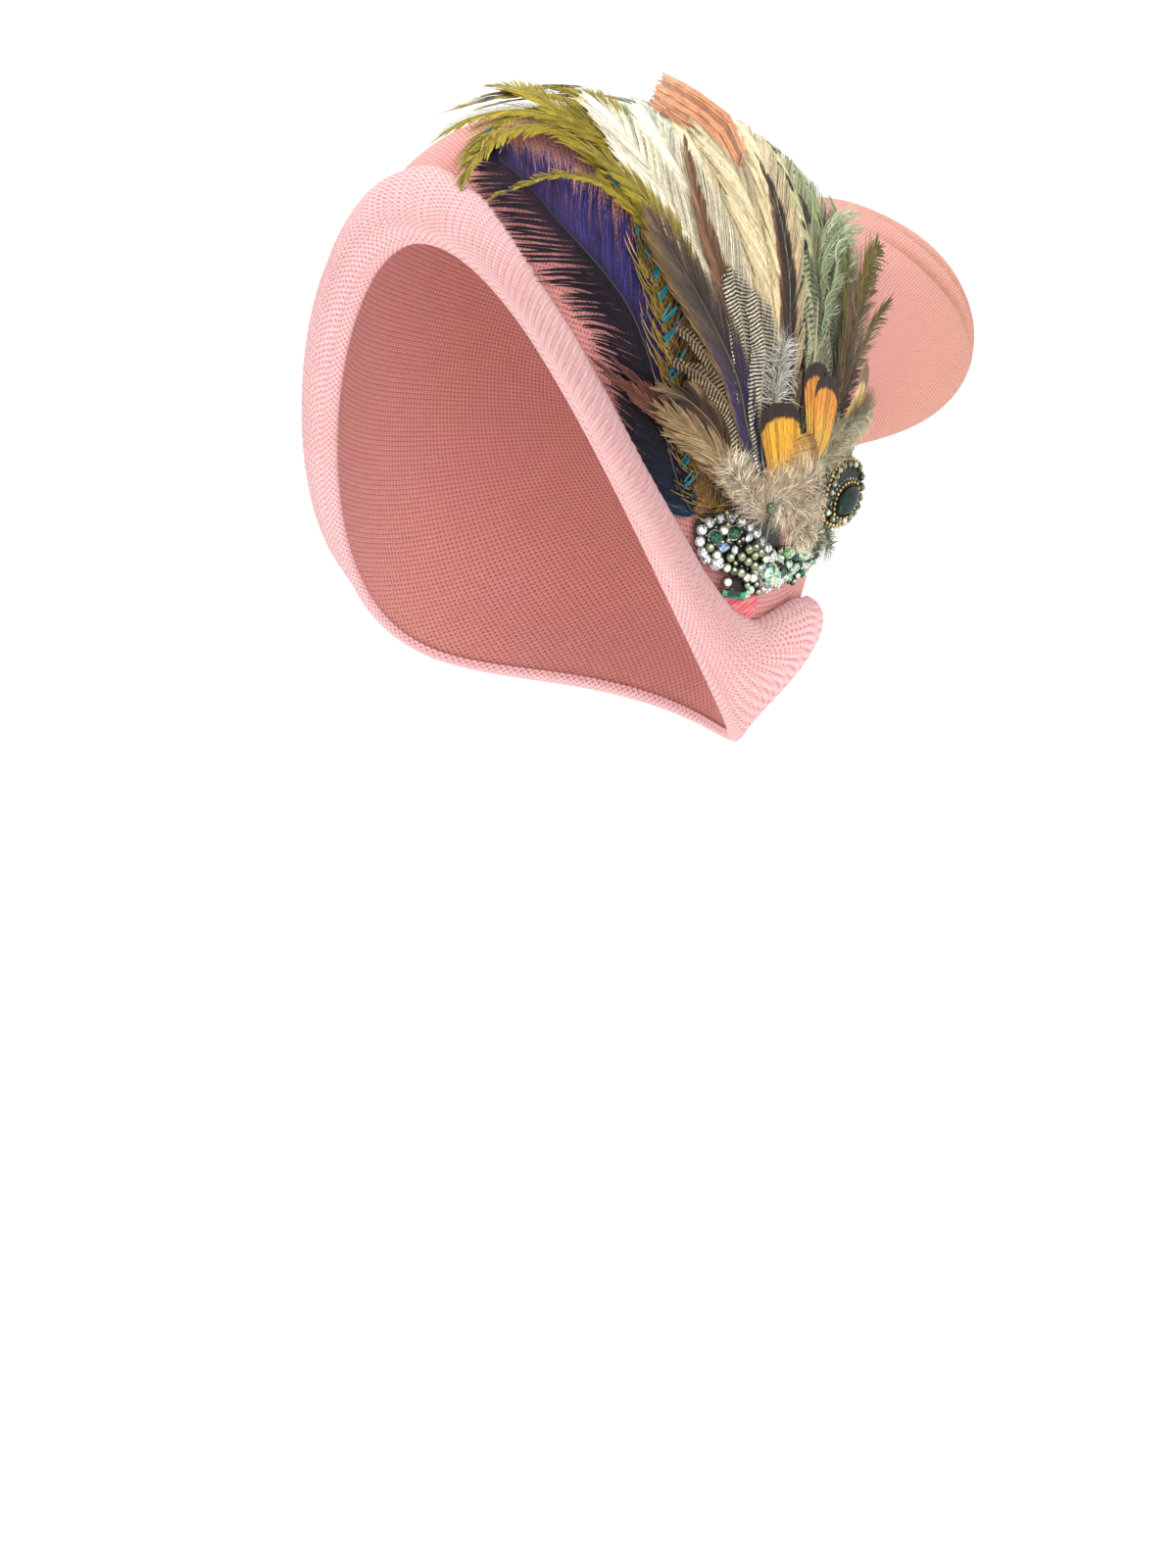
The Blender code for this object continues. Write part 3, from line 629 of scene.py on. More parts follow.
# Three white feathers with a mint edge, laid first along the top of the fan. Soft and full, with
# barbs parted into many locks.
feather("feather_white_mint", "feather_mint", "feather_pale", spray(11, [
    ([(85, 2.2), (60, 2.95), (39.5, 3.24), (26, 3.44), (10, 3.66), (-2, 3.55), (-9, 3.05)],
     (2, 8, 12, 13, 12, 10, 6), (2, 8, 12, 13, 12, 9, 5)),
    ([(86, 2.3), (68, 3.04), (47.5, 3.4), (32, 3.52), (14, 3.8), (0, 3.68)],
     (2, 9, 14, 15, 13, 11, 6), (2, 9, 13, 14, 12, 9, 5)),
    ([(86, 2.3), (68, 3.04), (54, 3.44), (40, 3.66), (23, 3.9), (9, 4.05)],
     (2, 9, 14, 14, 12, 10, 6), (2, 9, 13, 14, 12, 9, 5))],
    FAN, 1.1, 0.6, (46, 28), 0.6, step=0.36, locks=14, notch=0.12),
    [(0, 236, 230, 204), (0.5, 242, 244, 228), (1, 228, 242, 224)], (240, 238, 220),
    edge=(0.72, 1.0, tint(170, 220, 180)))

# Greenish hackle at the fan's back edge, and a second one that frays over the pouch. Both are
# mottled, with gaps where locks of barbs have come apart.
feather("hackle_green_edge", "feather_green_edge", "feather_green", spray(12, [
    ([(91, 2.55), (95.5, 3.6), (93.5, 4.16), (81, 4.48), (68, 4.64), (56, 4.8), (43, 4.95)],
     (2, 7, 10, 11, 10, 8, 4)),
    ([(92, 2.6), (96, 3.6), (95, 4.3), (86, 4.75), (74, 4.95), (62, 5.05)], (2, 6, 9, 10, 9, 5))],
    FAN, 0.9, 0.66, (44, 26), 0.6, step=0.5, arch=(0, 0.6, 1.6), locks=12, notch=0.3, ragged=0.14),
    [(0, 132, 148, 100), (0.5, 190, 196, 142), (1, 166, 186, 124)], (190, 190, 140),
    edge=(0.6, 1.0, tint(112, 150, 92)), flecks=(0.16, tint(30, 28, 20), 0.56))

# Olive herl beside the navy plume: thin, fuzzy, golden brown, with tufts dyed turquoise that
# stick out at the plume's edge.
rng = np.random.default_rng(13)
parts = spray(rng, [(line, (4, 7, 9, 9, 8, 5), (4, 7, 8, 8, 6, 4)) for line in (
    [(75, 1.35), (72, 1.05), (67.5, 1.16), (59.5, 1.68), (54, 1.92), (47, 2.36)],
    [(82, 1.45), (78, 1.36), (74, 1.2), (69, 1.1)],
    [(79, 1.7), (68, 1.6), (60, 1.95), (53, 2.2), (45, 2.5), (38, 2.6)],
    [(78, 1.5), (70, 1.3), (63, 1.5), (57, 1.75), (50, 2.05), (42, 2.3)])],
    FAN + 0.4, 0.6, 0.7, (56, 40), 0.34, step=0.7, ragged=0.5, locks=26, notch=0.6, pinch=1.1,
    lift=2.8, bow=0.6)
quill = Quill([(68, 0.85), (63, 1.2), (56, 1.62), (50, 2), (44, 2.22), (38, 2.3)], FAN + 3.6 * PLY)
for start in (0.02, 0.1, 0.3, 0.42, 0.55, 0.62, 0.7, 0.78, 0.86, 0.95):     # one tuft each
    tuft = barbs(quill, -1, (5, 6, 6, 5), 1.1, (60, 50), 0.75, rng, start=start, ragged=0.3,
                 lift=1.6, close=0.01)
    parts.append({**nearest(tuft, 3), "slot": 2})
feather("herl_fuzz", "herl_olive", "feather_green", parts,
        [(0, 120, 90, 22), (0.45, 176, 136, 40), (1, 140, 124, 36)], (130, 104, 44),
        vane("turquoise_tufts", [(0, 20, 110, 130), (1, 40, 160, 176)]),
        flecks=(0.10, tint(206, 160, 96), 0.56))

# Peach biot: stiff parallel barbs in a broad block, cut off straight, that stands up off the
# crown's top and faces forwards.
rng = np.random.default_rng(14)
BARBS = 50
quill = Quill([(86, 2.35), (70, 2.95), (56, 3.5), (45, 3.75), (36, 3.86), (27, 3.88), (20, 3.84),
               (14.5, 3.84)], FAN + PLY, (0, 0.8, 2.0))
s = np.linspace(0, 1, 17)
lanes = np.linspace(0, 1, BARBS) + rng.normal(0, 0.006, BARBS)
reach = quill.length * (1.0 + 0.03 * lanes + rng.normal(0, 0.006, BARBS))
along = s[None] * reach[:, None]
wide = lanes[:, None] * np.interp(s, (0, 0.5, 0.69, 0.76, 1), (0.3, 1.5, 3.5, 16.5, 14.5))
stand = np.interp(s, (0, 0.66, 0.78, 1), (0, 0, 0.55, 0.66))
across, off = -0.62 * wide, 0.2 + stand * wide + rng.normal(0, 0.08, (BARBS, 1))
strips = ribbons(quill, along, across, off, np.interp(s, (0, 0.5, 0.98, 1), (0.3, 0.55, 0.6, 0.45)),
                 -0.3, lanes[:, None], s[None], rng.uniform(0, 1, BARBS), aside=0.8)
feather("biot_peach_strips", "biot_peach", "feather_peach", [strips, stem(quill, 0.9)],
        [(0, 170, 106, 66), (0.6, 196, 130, 88), (1, 212, 148, 108)], (190, 112, 62), rough=0.5)

# Olive peacock swords. Long curved shafts with wispy gold-green barbs, hooked over at the tips;
# three layers with loose tips that hang over the front.
for seed, name, node, layer, lines in (
        (20, "sword_back", "sword_olive_back", 1, [
            ([(82, 2.0), (62, 2.6), (51, 2.8), (42, 2.88), (33.5, 3.0), (20.5, 3.24), (9, 3.4),
              (-3, 3.5), (-8, 3.1)], (3, 6, 8, 10, 10, 9, 7, 5), (2, 5, 7, 8, 8, 7, 6, 4)),
            ([(80, 2.1), (55, 2.8), (42, 2.9), (33, 3.04), (21, 3.2), (9, 3.32), (-3, 3.3),
              (-4, 2.7)], (2, 5, 7, 8, 8, 7, 5, 3), (2, 4, 7, 8, 8, 7, 5, 3)),
            ([(70, 2.4), (48, 2.9), (30, 3.1), (14, 3.2), (2, 3.0), (-6, 2.5)],
             (2, 5, 7, 7, 6, 3), (2, 5, 7, 8, 7, 4))]),
        (21, "sword_middle", "sword_olive_middle", 3, [
            ([(80, 1.85), (60, 2.6), (50.5, 2.72), (41, 2.8), (33, 2.84), (24, 2.96),
              (14.5, 2.88), (8.5, 2.6), (6.5, 2.08), (7.5, 1.28)],
             (2, 5, 7, 8, 7, 6, 5, 3), (2, 5, 7, 8, 8, 6, 4, 2)),
            ([(60, 2.7), (49, 2.64), (40.5, 2.64), (31, 2.64), (22.5, 2.56), (14.5, 2.44),
              (10, 2.0), (9, 1.28), (9.5, 0.88)],
             (2, 5, 6, 7, 6, 4, 2.5, 1.5), (1, 4, 6, 7, 6, 5, 3, 1.5)),
            ([(55, 2.85), (38, 3.05), (24, 2.95), (12.5, 2.78), (2, 2.8), (-7, 2.9)],
             (2, 6, 7, 7, 6, 3), (1, 5, 7, 7, 6, 3)),
            ([(52, 2.8), (36, 2.9), (20, 2.75), (8, 2.4), (2, 1.9), (0, 1.5)],
             (2, 5, 6, 6, 4, 2), (1, 5, 7, 6, 4, 2))]),
        (22, "sword_front", "sword_olive_front", 4, [
            ([(79, 1.75), (62, 2.4), (49, 2.52), (42, 2.48), (34, 2.4), (27.5, 2.2), (22.5, 1.8),
              (19.5, 1.36), (16, 0.92)],
             (1, 4, 6, 6, 5, 2.5, 1.4, 0.7), (1, 5, 8, 7, 4, 2, 1.2, 0.6)),
            ([(78, 1.9), (62, 2.35), (52, 2.5), (44, 2.62), (35, 2.62), (27, 2.5)],
             (2, 5, 6, 6, 5, 3), (2, 6, 8, 8, 6, 3))])):
    feather(name, node, "feather_green", spray(
        seed, lines, FAN + layer * PLY, 0.85, 0.85, (34, 20), 0.62, step=0.35,
        arch=(0.0, 0.8, 2.6), locks=20, pinch=0.35, ragged=0.14, notch=0.3, bow=0.1, lift=1.0),
        [(0, 84, 72, 8), (0.35, 136, 118, 14), (0.7, 172, 152, 32), (1, 160, 144, 48)],
        (184, 164, 64), heart=(0.0, 0.25, tint(92, 84, 14), 0.7),
        flecks=(0.09, tint(10, 74, 78), 0.63), sheen=(0.9, 0.9, 0.4))

# Green hackle with black badger marks over the back edge of the fan, and a curl of pale green
# fringe on it.
rng = np.random.default_rng(15)
parts = spray(rng, [
    ([(89, 2.6), (88, 3.3), (80, 3.9), (71.5, 4.2), (58.5, 4.42), (46, 4.6), (33, 4.8)],
     (2, 7, 10, 10, 9, 8, 5), (2, 7, 10, 10, 9, 7, 4))],
    FAN + 2 * PLY, 0.9, 0.6, (40, 24), 0.6, locks=10, notch=0.2, ragged=0.1)
for line in ([(82, 4.0), (81.5, 4.28), (73, 4.2), (68.5, 4.6), (66, 5.1)],
             [(80, 4.0), (75.5, 4.12), (68.5, 4.32), (64, 4.72), (60, 5.2)],
             [(84, 4.1), (78, 4.28), (78, 4.64), (73.5, 4.88), (67, 4.72)],
             [(86, 3.7), (80, 4.0), (76, 4.4), (70, 4.6), (70, 4.9)]):
    half = (2, 4, 5, 4, 2)
    parts += [{**row, "slot": 2} for row in both_sides(
        Quill(line, FAN + 3 * PLY, (0, 1.5, 2.5)), rng, half, half, 1.3, (50, 36), 0.34,
        ragged=0.4, lift=2.0, bow=1.2, notch=0.5)]
feather("hackle_badger", "hackle_green", "feather_green", parts,
        [(0, 150, 160, 120), (0.4, 206, 202, 156), (1, 196, 196, 136)], (214, 206, 160),
        vane("pale_green_fringe", [(0, 150, 166, 118), (1, 190, 204, 164)]),
        edge=(0.7, 1.0, tint(140, 166, 112)), flecks=(0.13, tint(28, 24, 20), 0.55))

# Navy ostrich plume along the front. Above the shaft its barbs lie dense and indigo; below it
# they hang as separate dark strands with the knit showing between them.
rng = np.random.default_rng(16)
quill = Quill([(76, 1.2), (71, 0.86), (65.5, 0.9), (60.5, 1.1), (55, 1.4), (49.5, 1.58),
               (44, 1.64), (36.5, 1.58), (28, 1.5), (19, 1.53), (10, 1.56)], FAN + 2 * PLY)
parts = [
    barbs(quill, -1, (3, 5, 9, 14, 17, 16, 12, 8, 3), 0.42, (38, 30), 0.5, rng, locks=22,
          pinch=0.35, ragged=0.07, bow=0.05, lift=0.4, steps=10, notch=0.1),
    barbs(quill, -1, (3, 5, 8, 12, 15, 15, 12, 8, 3), 0.9, (40, 30), 0.45, rng, locks=30,
          pinch=0.5, ragged=0.2, bow=-0.1, lift=1.2, steps=10)]
below = [barbs(quill, 1, (7, 13, 16, 17, 17, 16, 15, 12, 6), 1.25, (52, 42), 0.78, rng, locks=1,
               pinch=0.0, ragged=0.06, lift=0.8, bow=0.15, steps=12)]
for width, share, pitch in ((0.6, 0.6, 1.1), (0.5, 0.36, 0.8)):    # denser towards the root
    more = barbs(quill, 1, (7, 11, 13, 12, 11, 10, 9, 7, 4), pitch, (54, 42), width, rng,
                 locks=1, pinch=0.0, ragged=0.25, lift=1.3, steps=10)
    below.append(nearest(more, int(len(more["strand"]) * share)))
below.append(barbs(quill, 1, (1.5, 2, 2.5, 2.5, 2, 1.5, 1), 0.45, (40, 30), 0.4, rng, lift=0.3))
parts += [{**row, "slot": 2} for row in below] + [stem(quill, 1.4)]
feather("plume_ostrich", "plume_navy", "feather_navy", parts,
        [(0, 14, 80, 104), (0.1, 18, 22, 46), (0.3, 40, 32, 74), (0.6, 62, 52, 120),
         (0.85, 56, 40, 92), (1, 40, 24, 52)], (28, 18, 38),
        vane("navy_strands", [(0, 6, 78, 106), (0.1, 8, 24, 48), (0.25, 12, 4, 18),
                              (1, 34, 10, 36)], rough=0.8, sheen=(0.3, 0.1, 0.5)),
        heart=(0.0, 0.3, tint(26, 16, 40), 0.6), sheen=(0.5, 0.5, 1.0))

# Beige hackles behind the cream ones: three broad soft blades, one over another, warm beige
# with a duller edge and a few olive flecks.
feather("hackle_beige", "hackle_cream_back", "feather_pale", spray(17, [
    ([(88, 2.5), (80, 3.05), (73.5, 3.4), (65.5, 3.76), (54, 4.06), (42.5, 4.28), (30, 4.5)],
     (3, 8, 11, 12, 11, 8, 4)),
    ([(87, 2.45), (79, 2.9), (71.5, 3.24), (63.5, 3.56), (52.5, 3.74), (44, 3.84), (34, 3.9)],
     (3, 9, 13, 14, 13, 10, 5)),
    ([(86, 2.4), (78, 2.8), (70.5, 3.16), (58.5, 3.34), (48.5, 3.44), (40.5, 3.54), (32, 3.68)],
     (3, 8, 12, 13, 12, 9, 4))],
    FAN + 3.4 * PLY, 0.9, 0.5, (32, 22), 0.6, step=-0.4, arch=(0, 0.8, 2.0), locks=9, notch=0.2,
    pinch=0.35),
    [(0, 204, 178, 130), (0.5, 242, 220, 172), (1, 246, 230, 188)], (214, 198, 160),
    edge=(0.8, 1.0, tint(214, 200, 150)), flecks=(0.05, tint(160, 138, 50), 0.66))

# Long dark hackle over the beige ones: narrow and near black, with a rusty edge, running to a
# thin point.
feather("hackle_black", "hackle_black_tip", "feather_brown", spray(18, [
    ([(86, 2.55), (79, 3.0), (73.5, 3.34), (67, 3.68), (58, 3.94), (50, 4.12), (41, 4.24)],
     (2, 4, 5, 5, 4, 2.2, 0.8), (2, 4.5, 5.5, 5, 4, 2, 0.8))],
    FAN + 4 * PLY, 0.9, 0.5, (26, 16), 0.5, locks=8, notch=0.1),
    [(0, 120, 100, 90), (0.3, 66, 46, 38), (1, 34, 22, 18)], (60, 44, 40),
    edge=(0.6, 1.0, tint(128, 88, 60)))

# Cream feathers, the broad pale blades of the fan. Their barbs part into many small locks, so
# the lower edges look saw-toothed.
feather("feather_cream_blade", "feather_cream", "feather_pale", spray(19, [
    ([(85, 2.3), (76, 2.5), (68.5, 2.76), (54, 3.04), (42, 3.2), (31.5, 3.32), (24, 3.46)],
     (2, 7, 12, 14, 13, 9, 5), (2, 7, 12, 14, 13, 10, 6)),
    ([(84, 2.2), (77, 2.4), (69, 2.64), (57.5, 2.78), (46, 2.84), (35.5, 2.9), (26, 3.02),
      (19.5, 3.1)], (2, 7, 11, 13, 12, 10, 8, 5), (2, 6, 10, 13, 14, 13, 11, 7))],
    FAN + 4.4 * PLY, 1.0, 0.5, (34, 24), 0.55, step=0.75, locks=26, notch=0.3, pinch=0.5,
    ragged=0.05),
    [(0, 224, 208, 172), (0.4, 252, 240, 208), (1, 255, 250, 226)], (226, 214, 184),
    flecks=(0.04, tint(190, 176, 150), 0.62))

# Slate hackle with an indigo sheen near its root, lying over the olive herl. Sleek, with a dark
# heart along the quill and a tan edge.
feather("hackle_slate_blade", "hackle_slate", "feather_brown", spray(31, [
    ([(84, 1.9), (79, 1.95), (73, 2.06), (66.5, 2.3), (56, 2.4), (47.5, 2.42), (39, 2.46)],
     (2, 6, 9, 9.5, 8, 5, 1.5), (2, 6, 9, 10, 8.5, 5, 1.5))],
    FAN + 7.6 * PLY, 0.8, 0.42, (28, 17), 0.42, locks=9, notch=0.12, ragged=0.08),
    [(0, 40, 38, 104), (0.3, 58, 50, 92), (0.5, 92, 74, 66), (1, 122, 98, 72)], (96, 80, 70),
    heart=(0.0, 0.55, tint(44, 34, 34), 0.75), edge=(0.6, 1.0, tint(140, 108, 60)),
    sheen=(0.6, 0.6, 1.0))

# Slim brown hackle standing between the two cream feathers, chestnut with a darker heart along
# its quill.
feather("hackle_brown", "hackle_brown_tip", "feather_brown", spray(32, [
    ([(83, 2.45), (74, 2.5), (67, 2.66), (56.5, 2.82), (47, 3.02), (40, 3.22), (31.5, 3.5)],
     (1.5, 4, 5, 4.5, 3.5, 2, 0.8))],
    FAN + 6.4 * PLY, 0.8, 0.45, (24, 14), 0.42, locks=7, notch=0.1),
    [(0, 84, 60, 46), (0.4, 140, 96, 66), (1, 158, 116, 84)], (92, 66, 50),
    heart=(0.0, 0.4, tint(84, 54, 36), 0.7))

# Greenish flank feathers with fine dark marks, two short round blades at the back of the fan
# beside the hackles.
feather("flank_green", "flank_barred_back", "feather_barred", spray(33, [
    ([(92, 2.7), (95, 3.3), (93.5, 3.88), (86.5, 4.04), (79, 4.32)], (2, 7, 10, 10, 8, 6)),
    ([(90, 2.7), (90, 3.2), (87, 3.6), (81, 3.8), (74, 4.0)], (2, 7, 10, 10, 8, 6))],
    FAN + PLY, 0.8, 0.45, (38, 24), 0.5, step=0.8, locks=7, notch=0.1),
    [(0, 150, 146, 118), (0.5, 184, 184, 150), (1, 158, 172, 132)], (170, 160, 130),
    bars=(1.9, 4.0, tint(66, 60, 46), 0.35))

# Dark and rusty hackles at the back edge, four of them, ragged, with their points breaking over
# the pouch.
feather("hackle_rusty", "hackle_dark_edge", "feather_brown", spray(34, [
    (line, (1, 0.8 * wide, wide, wide, 0.8 * wide, 2.5)) for line, wide in (
        ([(94, 2.8), (103, 3.8), (102.5, 4.3), (101, 4.9), (91, 5.4)], 6.0),
        ([(93, 2.7), (101, 3.84), (97.5, 4.2), (91.5, 4.68), (82.5, 5.1)], 6.5),
        ([(92, 2.7), (96, 3.7), (92.5, 4.12), (84.5, 4.48), (74.5, 4.68)], 6.0),
        ([(94, 2.9), (99, 4.0), (93, 4.48), (84, 4.84), (71, 5.4)], 6.5))],
    FAN + 2 * PLY, 0.7, 0.5, (40, 26), 0.4, step=0.5, arch=(0, 0.8, 2.5), locks=12, notch=0.5,
    ragged=0.25, bow=-0.1, lift=1.2),
    [(0, 140, 110, 64), (0.4, 64, 44, 28), (0.75, 120, 102, 36), (1, 84, 84, 30)], (120, 80, 44),
    flecks=(0.09, tint(184, 110, 50), 0.60))

# Grey flank feathers with fine black and white wavy bars, two of them, side by side in the
# middle of the fan.
feather("flank_wavy", "flank_barred_middle", "feather_barred", spray(35, [
    ([(84, 1.75), (79, 1.85), (74, 2.12), (68, 2.48), (63.5, 2.7), (59, 2.86)],
     (2, 5, 7, 8, 7, 4)),
    ([(84, 1.8), (79, 2.0), (74.5, 2.28), (71.5, 2.56), (69, 2.8), (65, 2.95)],
     (2, 5, 7, 8, 7, 4))],
    FAN + 7 * PLY, 0.8, 0.4, (34, 22), 0.45, step=0.5, locks=6, notch=0.06, pinch=0.1),
    [(0, 238, 230, 212), (1, 222, 208, 180)], (180, 170, 150),
    bars=(1.25, 1.5, tint(26, 22, 22), 0.0))

# Slim brown hackles, two of them, that reach forward over the crease above the roll and end in
# thin points.
feather("hackle_tan_slim", "hackle_tan_low", "feather_brown", spray(36, [
    ([(80, 1.6), (72.5, 1.42), (61.5, 1.22), (52.5, 0.92), (44.5, 0.68)],
     (1, 3.5, 4, 3, 2.2, 1.2, 0.6)),
    ([(80, 1.65), (74, 1.5), (64, 1.34), (55, 1.15), (48, 0.95)],
     (1, 3.5, 4, 3, 2.2, 1.2, 0.6))],
    FAN + 7 * PLY, 0.6, 0.5, (22, 12), 0.42, step=-0.6, arch=(0, -1.0, -2.0), locks=6,
    notch=0.15, ragged=0.12),
    [(0, 150, 118, 84), (0.4, 136, 86, 60), (1, 112, 58, 48)], (60, 36, 28))

# Barred front flank feathers: dark brown with cream ladder marks, curving forward over the
# olive herl.
feather("flank_ladder", "flank_barred_front", "feather_barred", spray(37, [
    (line, (2, 3.5, 4.5, 4.5, 3.5, 2, 1), (2, 4, 5, 5, 4, 2.5, 1)) for line in (
        [(81, 1.6), (77, 1.66), (73.5, 1.84), (69, 2.02), (61.5, 1.92), (55.5, 1.66)],
        [(82, 1.7), (77, 1.75), (72, 1.92), (66, 2.1), (59, 2.1), (53, 1.95)])],
    FAN + 7 * PLY, 0.8, 0.42, (30, 20), 0.45, step=-0.5, locks=6, notch=0.08),
    [(0, 226, 216, 190), (0.6, 190, 160, 116), (1, 150, 118, 84)], (150, 120, 90),
    bars=(1.5, 1.2, tint(30, 22, 18), -0.2))

# Wide tan feathers lying forward over the plume's root, four of them, one with a dark patch
# towards its tip.
parts = spray(38, [
    ([(82, 1.6), (78, 1.5), (74.5, 1.44), (69, 1.5), (63.5, 1.36), (57.5, 1.14)],
     (2, 3.5, 5, 5, 3.5, 1.2)),
    ([(82, 1.65), (78, 1.58), (74.5, 1.56), (67.5, 1.68), (60.5, 1.54), (56, 1.3)],
     (2, 3, 4.5, 5, 3.5, 1.2)),
    ([(81, 1.6), (76, 1.5), (71, 1.45), (65, 1.3), (60, 1.05)], (2, 3, 4, 3, 1)),
    ([(83, 1.7), (78, 1.66), (73, 1.7), (67, 1.82), (61, 1.78)], (2, 3, 4, 3.5, 1.2))],
    FAN + 8 * PLY, 0.7, 0.45, (26, 16), 0.45, step=-0.7, locks=7, notch=0.25, ragged=0.12,
    pinch=0.5)
for row in parts[3:5]:          # the second feather's barbs
    row["slot"] = 2
feather("hackle_tan_broad", "hackle_tan_wide", "feather_brown", parts,
        [(0, 196, 170, 130), (0.5, 186, 156, 114), (1, 150, 122, 80)], (150, 122, 88),
        vane("dark_patch", [(0, 190, 160, 116), (0.4, 92, 62, 38), (0.8, 52, 34, 24),
                            (1, 150, 122, 84)]), flecks=(0.07, tint(86, 60, 36), 0.62))

# Golden tippets: small round-ended feathers with a dark rim, in four places round the root.
# Their barbs lie side by side like strips and end together in a round.
BLACK = (40, 22, 12)
STRIPS = 40


def tippet(name, node, layer, lines, half, stops, seed, dark):
    """Strips side by side that end in a round: gold, then a dark rim."""
    parts = []
    rng = np.random.default_rng(seed)
    s = np.linspace(0, 1, 13)
    for j, line in enumerate(lines):
        quill = Quill(line, FAN + layer * PLY + 0.5 * j, (0, 0.8, 1.2))
        lane = np.linspace(-1, 1, STRIPS)[:, None] + rng.normal(0, 0.008, (STRIPS, 1))
        reach = quill.length * (0.84 + 0.16 * np.sqrt(np.clip(1 - lane ** 2, 0, 1)))
        reach = reach * (1 + rng.normal(0, 0.01, (STRIPS, 1)))
        across = lane * half * np.interp(s, (0, 0.2, 0.5, 0.8, 1), (0.08, 0.45, 0.8, 1, 1.02))
        along = s[None] * reach
        off = 0.3 + 0.05 * rng.normal(0, 1, (STRIPS, 1)) + 0.5 * (1 - lane ** 2) * s
        width = np.interp(s, (0, 0.3, 1), (0.2, 0.4, 0.62)) * half / 6
        parts.append(ribbons(quill, along, across, off, width, -0.2, lane, s[None],
                             rng.uniform(0.1, 1, STRIPS)))
        parts.append(stem(quill, 0.45, end=0.9))
    feather(name, node, "feather_gold", parts, [
        *stops, (0.845, *stops[-1][1:]), (0.875, *dark), (1.0, *dark)], (196, 140, 60), rough=0.42)


tippet("tippet_middle", "tippet_gold_middle", 9,
       [[(86, 1.9), (83.5, 2.08), (80, 2.3), (75.5, 2.56)]], 8.2,
       [(0, 176, 130, 62), (0.3, 212, 152, 44), (0.7, 226, 162, 40)], 41, BLACK)
tippet("tippet_back", "tippet_gold_back", 8,
       [[(88.5, 2.6), (87, 2.88), (84.5, 3.08), (80.5, 3.34)],
        [(90, 2.6), (89.5, 2.9), (87.5, 3.1), (85, 3.4)]], 6.2,
       [(0, 190, 150, 80), (0.4, 216, 162, 60), (0.7, 212, 136, 46)], 42, BLACK)
tippet("tippet_edge", "tippet_gold_edge", 5,
       [[(98, 3.1), (103, 3.6), (106, 4.0), (103, 4.45)]], 6.0,
       [(0, 190, 160, 96), (0.4, 222, 178, 96), (0.7, 226, 190, 110)], 43, (120, 88, 46))
tippet("tippet_low", "tippet_gold_low", 9,
       [[(79, 1.92), (81, 2.12), (84, 2.4), (88.5, 2.7)],
        [(79.5, 1.9), (81, 2.0), (85.5, 2.24), (91.5, 2.46)]], 6.0,
       [(0, 170, 124, 56), (0.3, 202, 146, 44), (0.7, 196, 142, 46)], 44, (150, 104, 40))

# Down. Loose fluff tied in at the root: soft filaments that curl every way and hide the
# quill ends, beige in front, olive behind and a grey tuft in the middle of the fan.


def filaments(quill, count, length, spread, rise, rng, thick=0.2):
    """Curled soft hairs springing from along a quill."""
    steps = 8
    t = rng.uniform(0, 1, count)
    turn = np.radians(rng.normal(0, spread, count))
    reach = length * rng.uniform(0.45, 1.1, count)
    s = np.linspace(0, 1, steps + 1)
    curl = rng.normal(0, 0.7, (count, 1)) * s
    wave = 0.25 * rng.normal(0, 1, (count, 1)) * np.sin(s * rng.uniform(4, 9, (count, 1)))
    ahead, out = steps_out(turn[:, None] + curl + wave, reach, steps)
    top = rng.uniform(0, 1, (count, 1)) ** 1.5
    off = 0.2 + rise * top * np.sin(s * math.pi * rng.uniform(0.45, 0.9, (count, 1)))
    return ribbons(quill, t[:, None] * quill.length + ahead, out, off,
                   thick * np.clip((1.05 - s) / 0.6, 0.2, 1), rng.choice((-0.5, 0.5)), s[None],
                   t[:, None], rng.uniform(0, 1, count))


def downy(name, root, tip, pale):
    mat = Finish(name, 0.85, Sheen_Weight=0.5, Sheen_Roughness=0.5)
    s, _, _ = mat.split(mat.add("UVMap", uv_map="UVMap"))
    tone = mat.add("Attribute", attribute_name="strand", out=2)
    colour = mat.mix(mat.spread(s, 0.1, 0.8), root, tip)
    colour = mat.mix(mat.spread(tone, 0.5, 0.9, 0.0, 0.95), colour, pale)
    colour = mat.mix(mat.spread(tone, 0.0, 0.3, 0.5, 0.0), colour, root)
    return mat.done(mat.mix(mat.spread(mat.grain(260.0), 0.42, 0.62, 0, 0.45), colour, root),
                    (mat.grain(900.0), 0.05))


def fluff(name, node, layer, tufts, seed, *colours):
    rng = np.random.default_rng(seed)
    down = bundle(name, [filaments(Quill(line, FAN + layer * PLY), *make, rng)
                         for line, *make in tufts],
                  downy(name + "_hairs", *(tint(*c) for c in colours)))
    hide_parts(node)
    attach(down, "root")


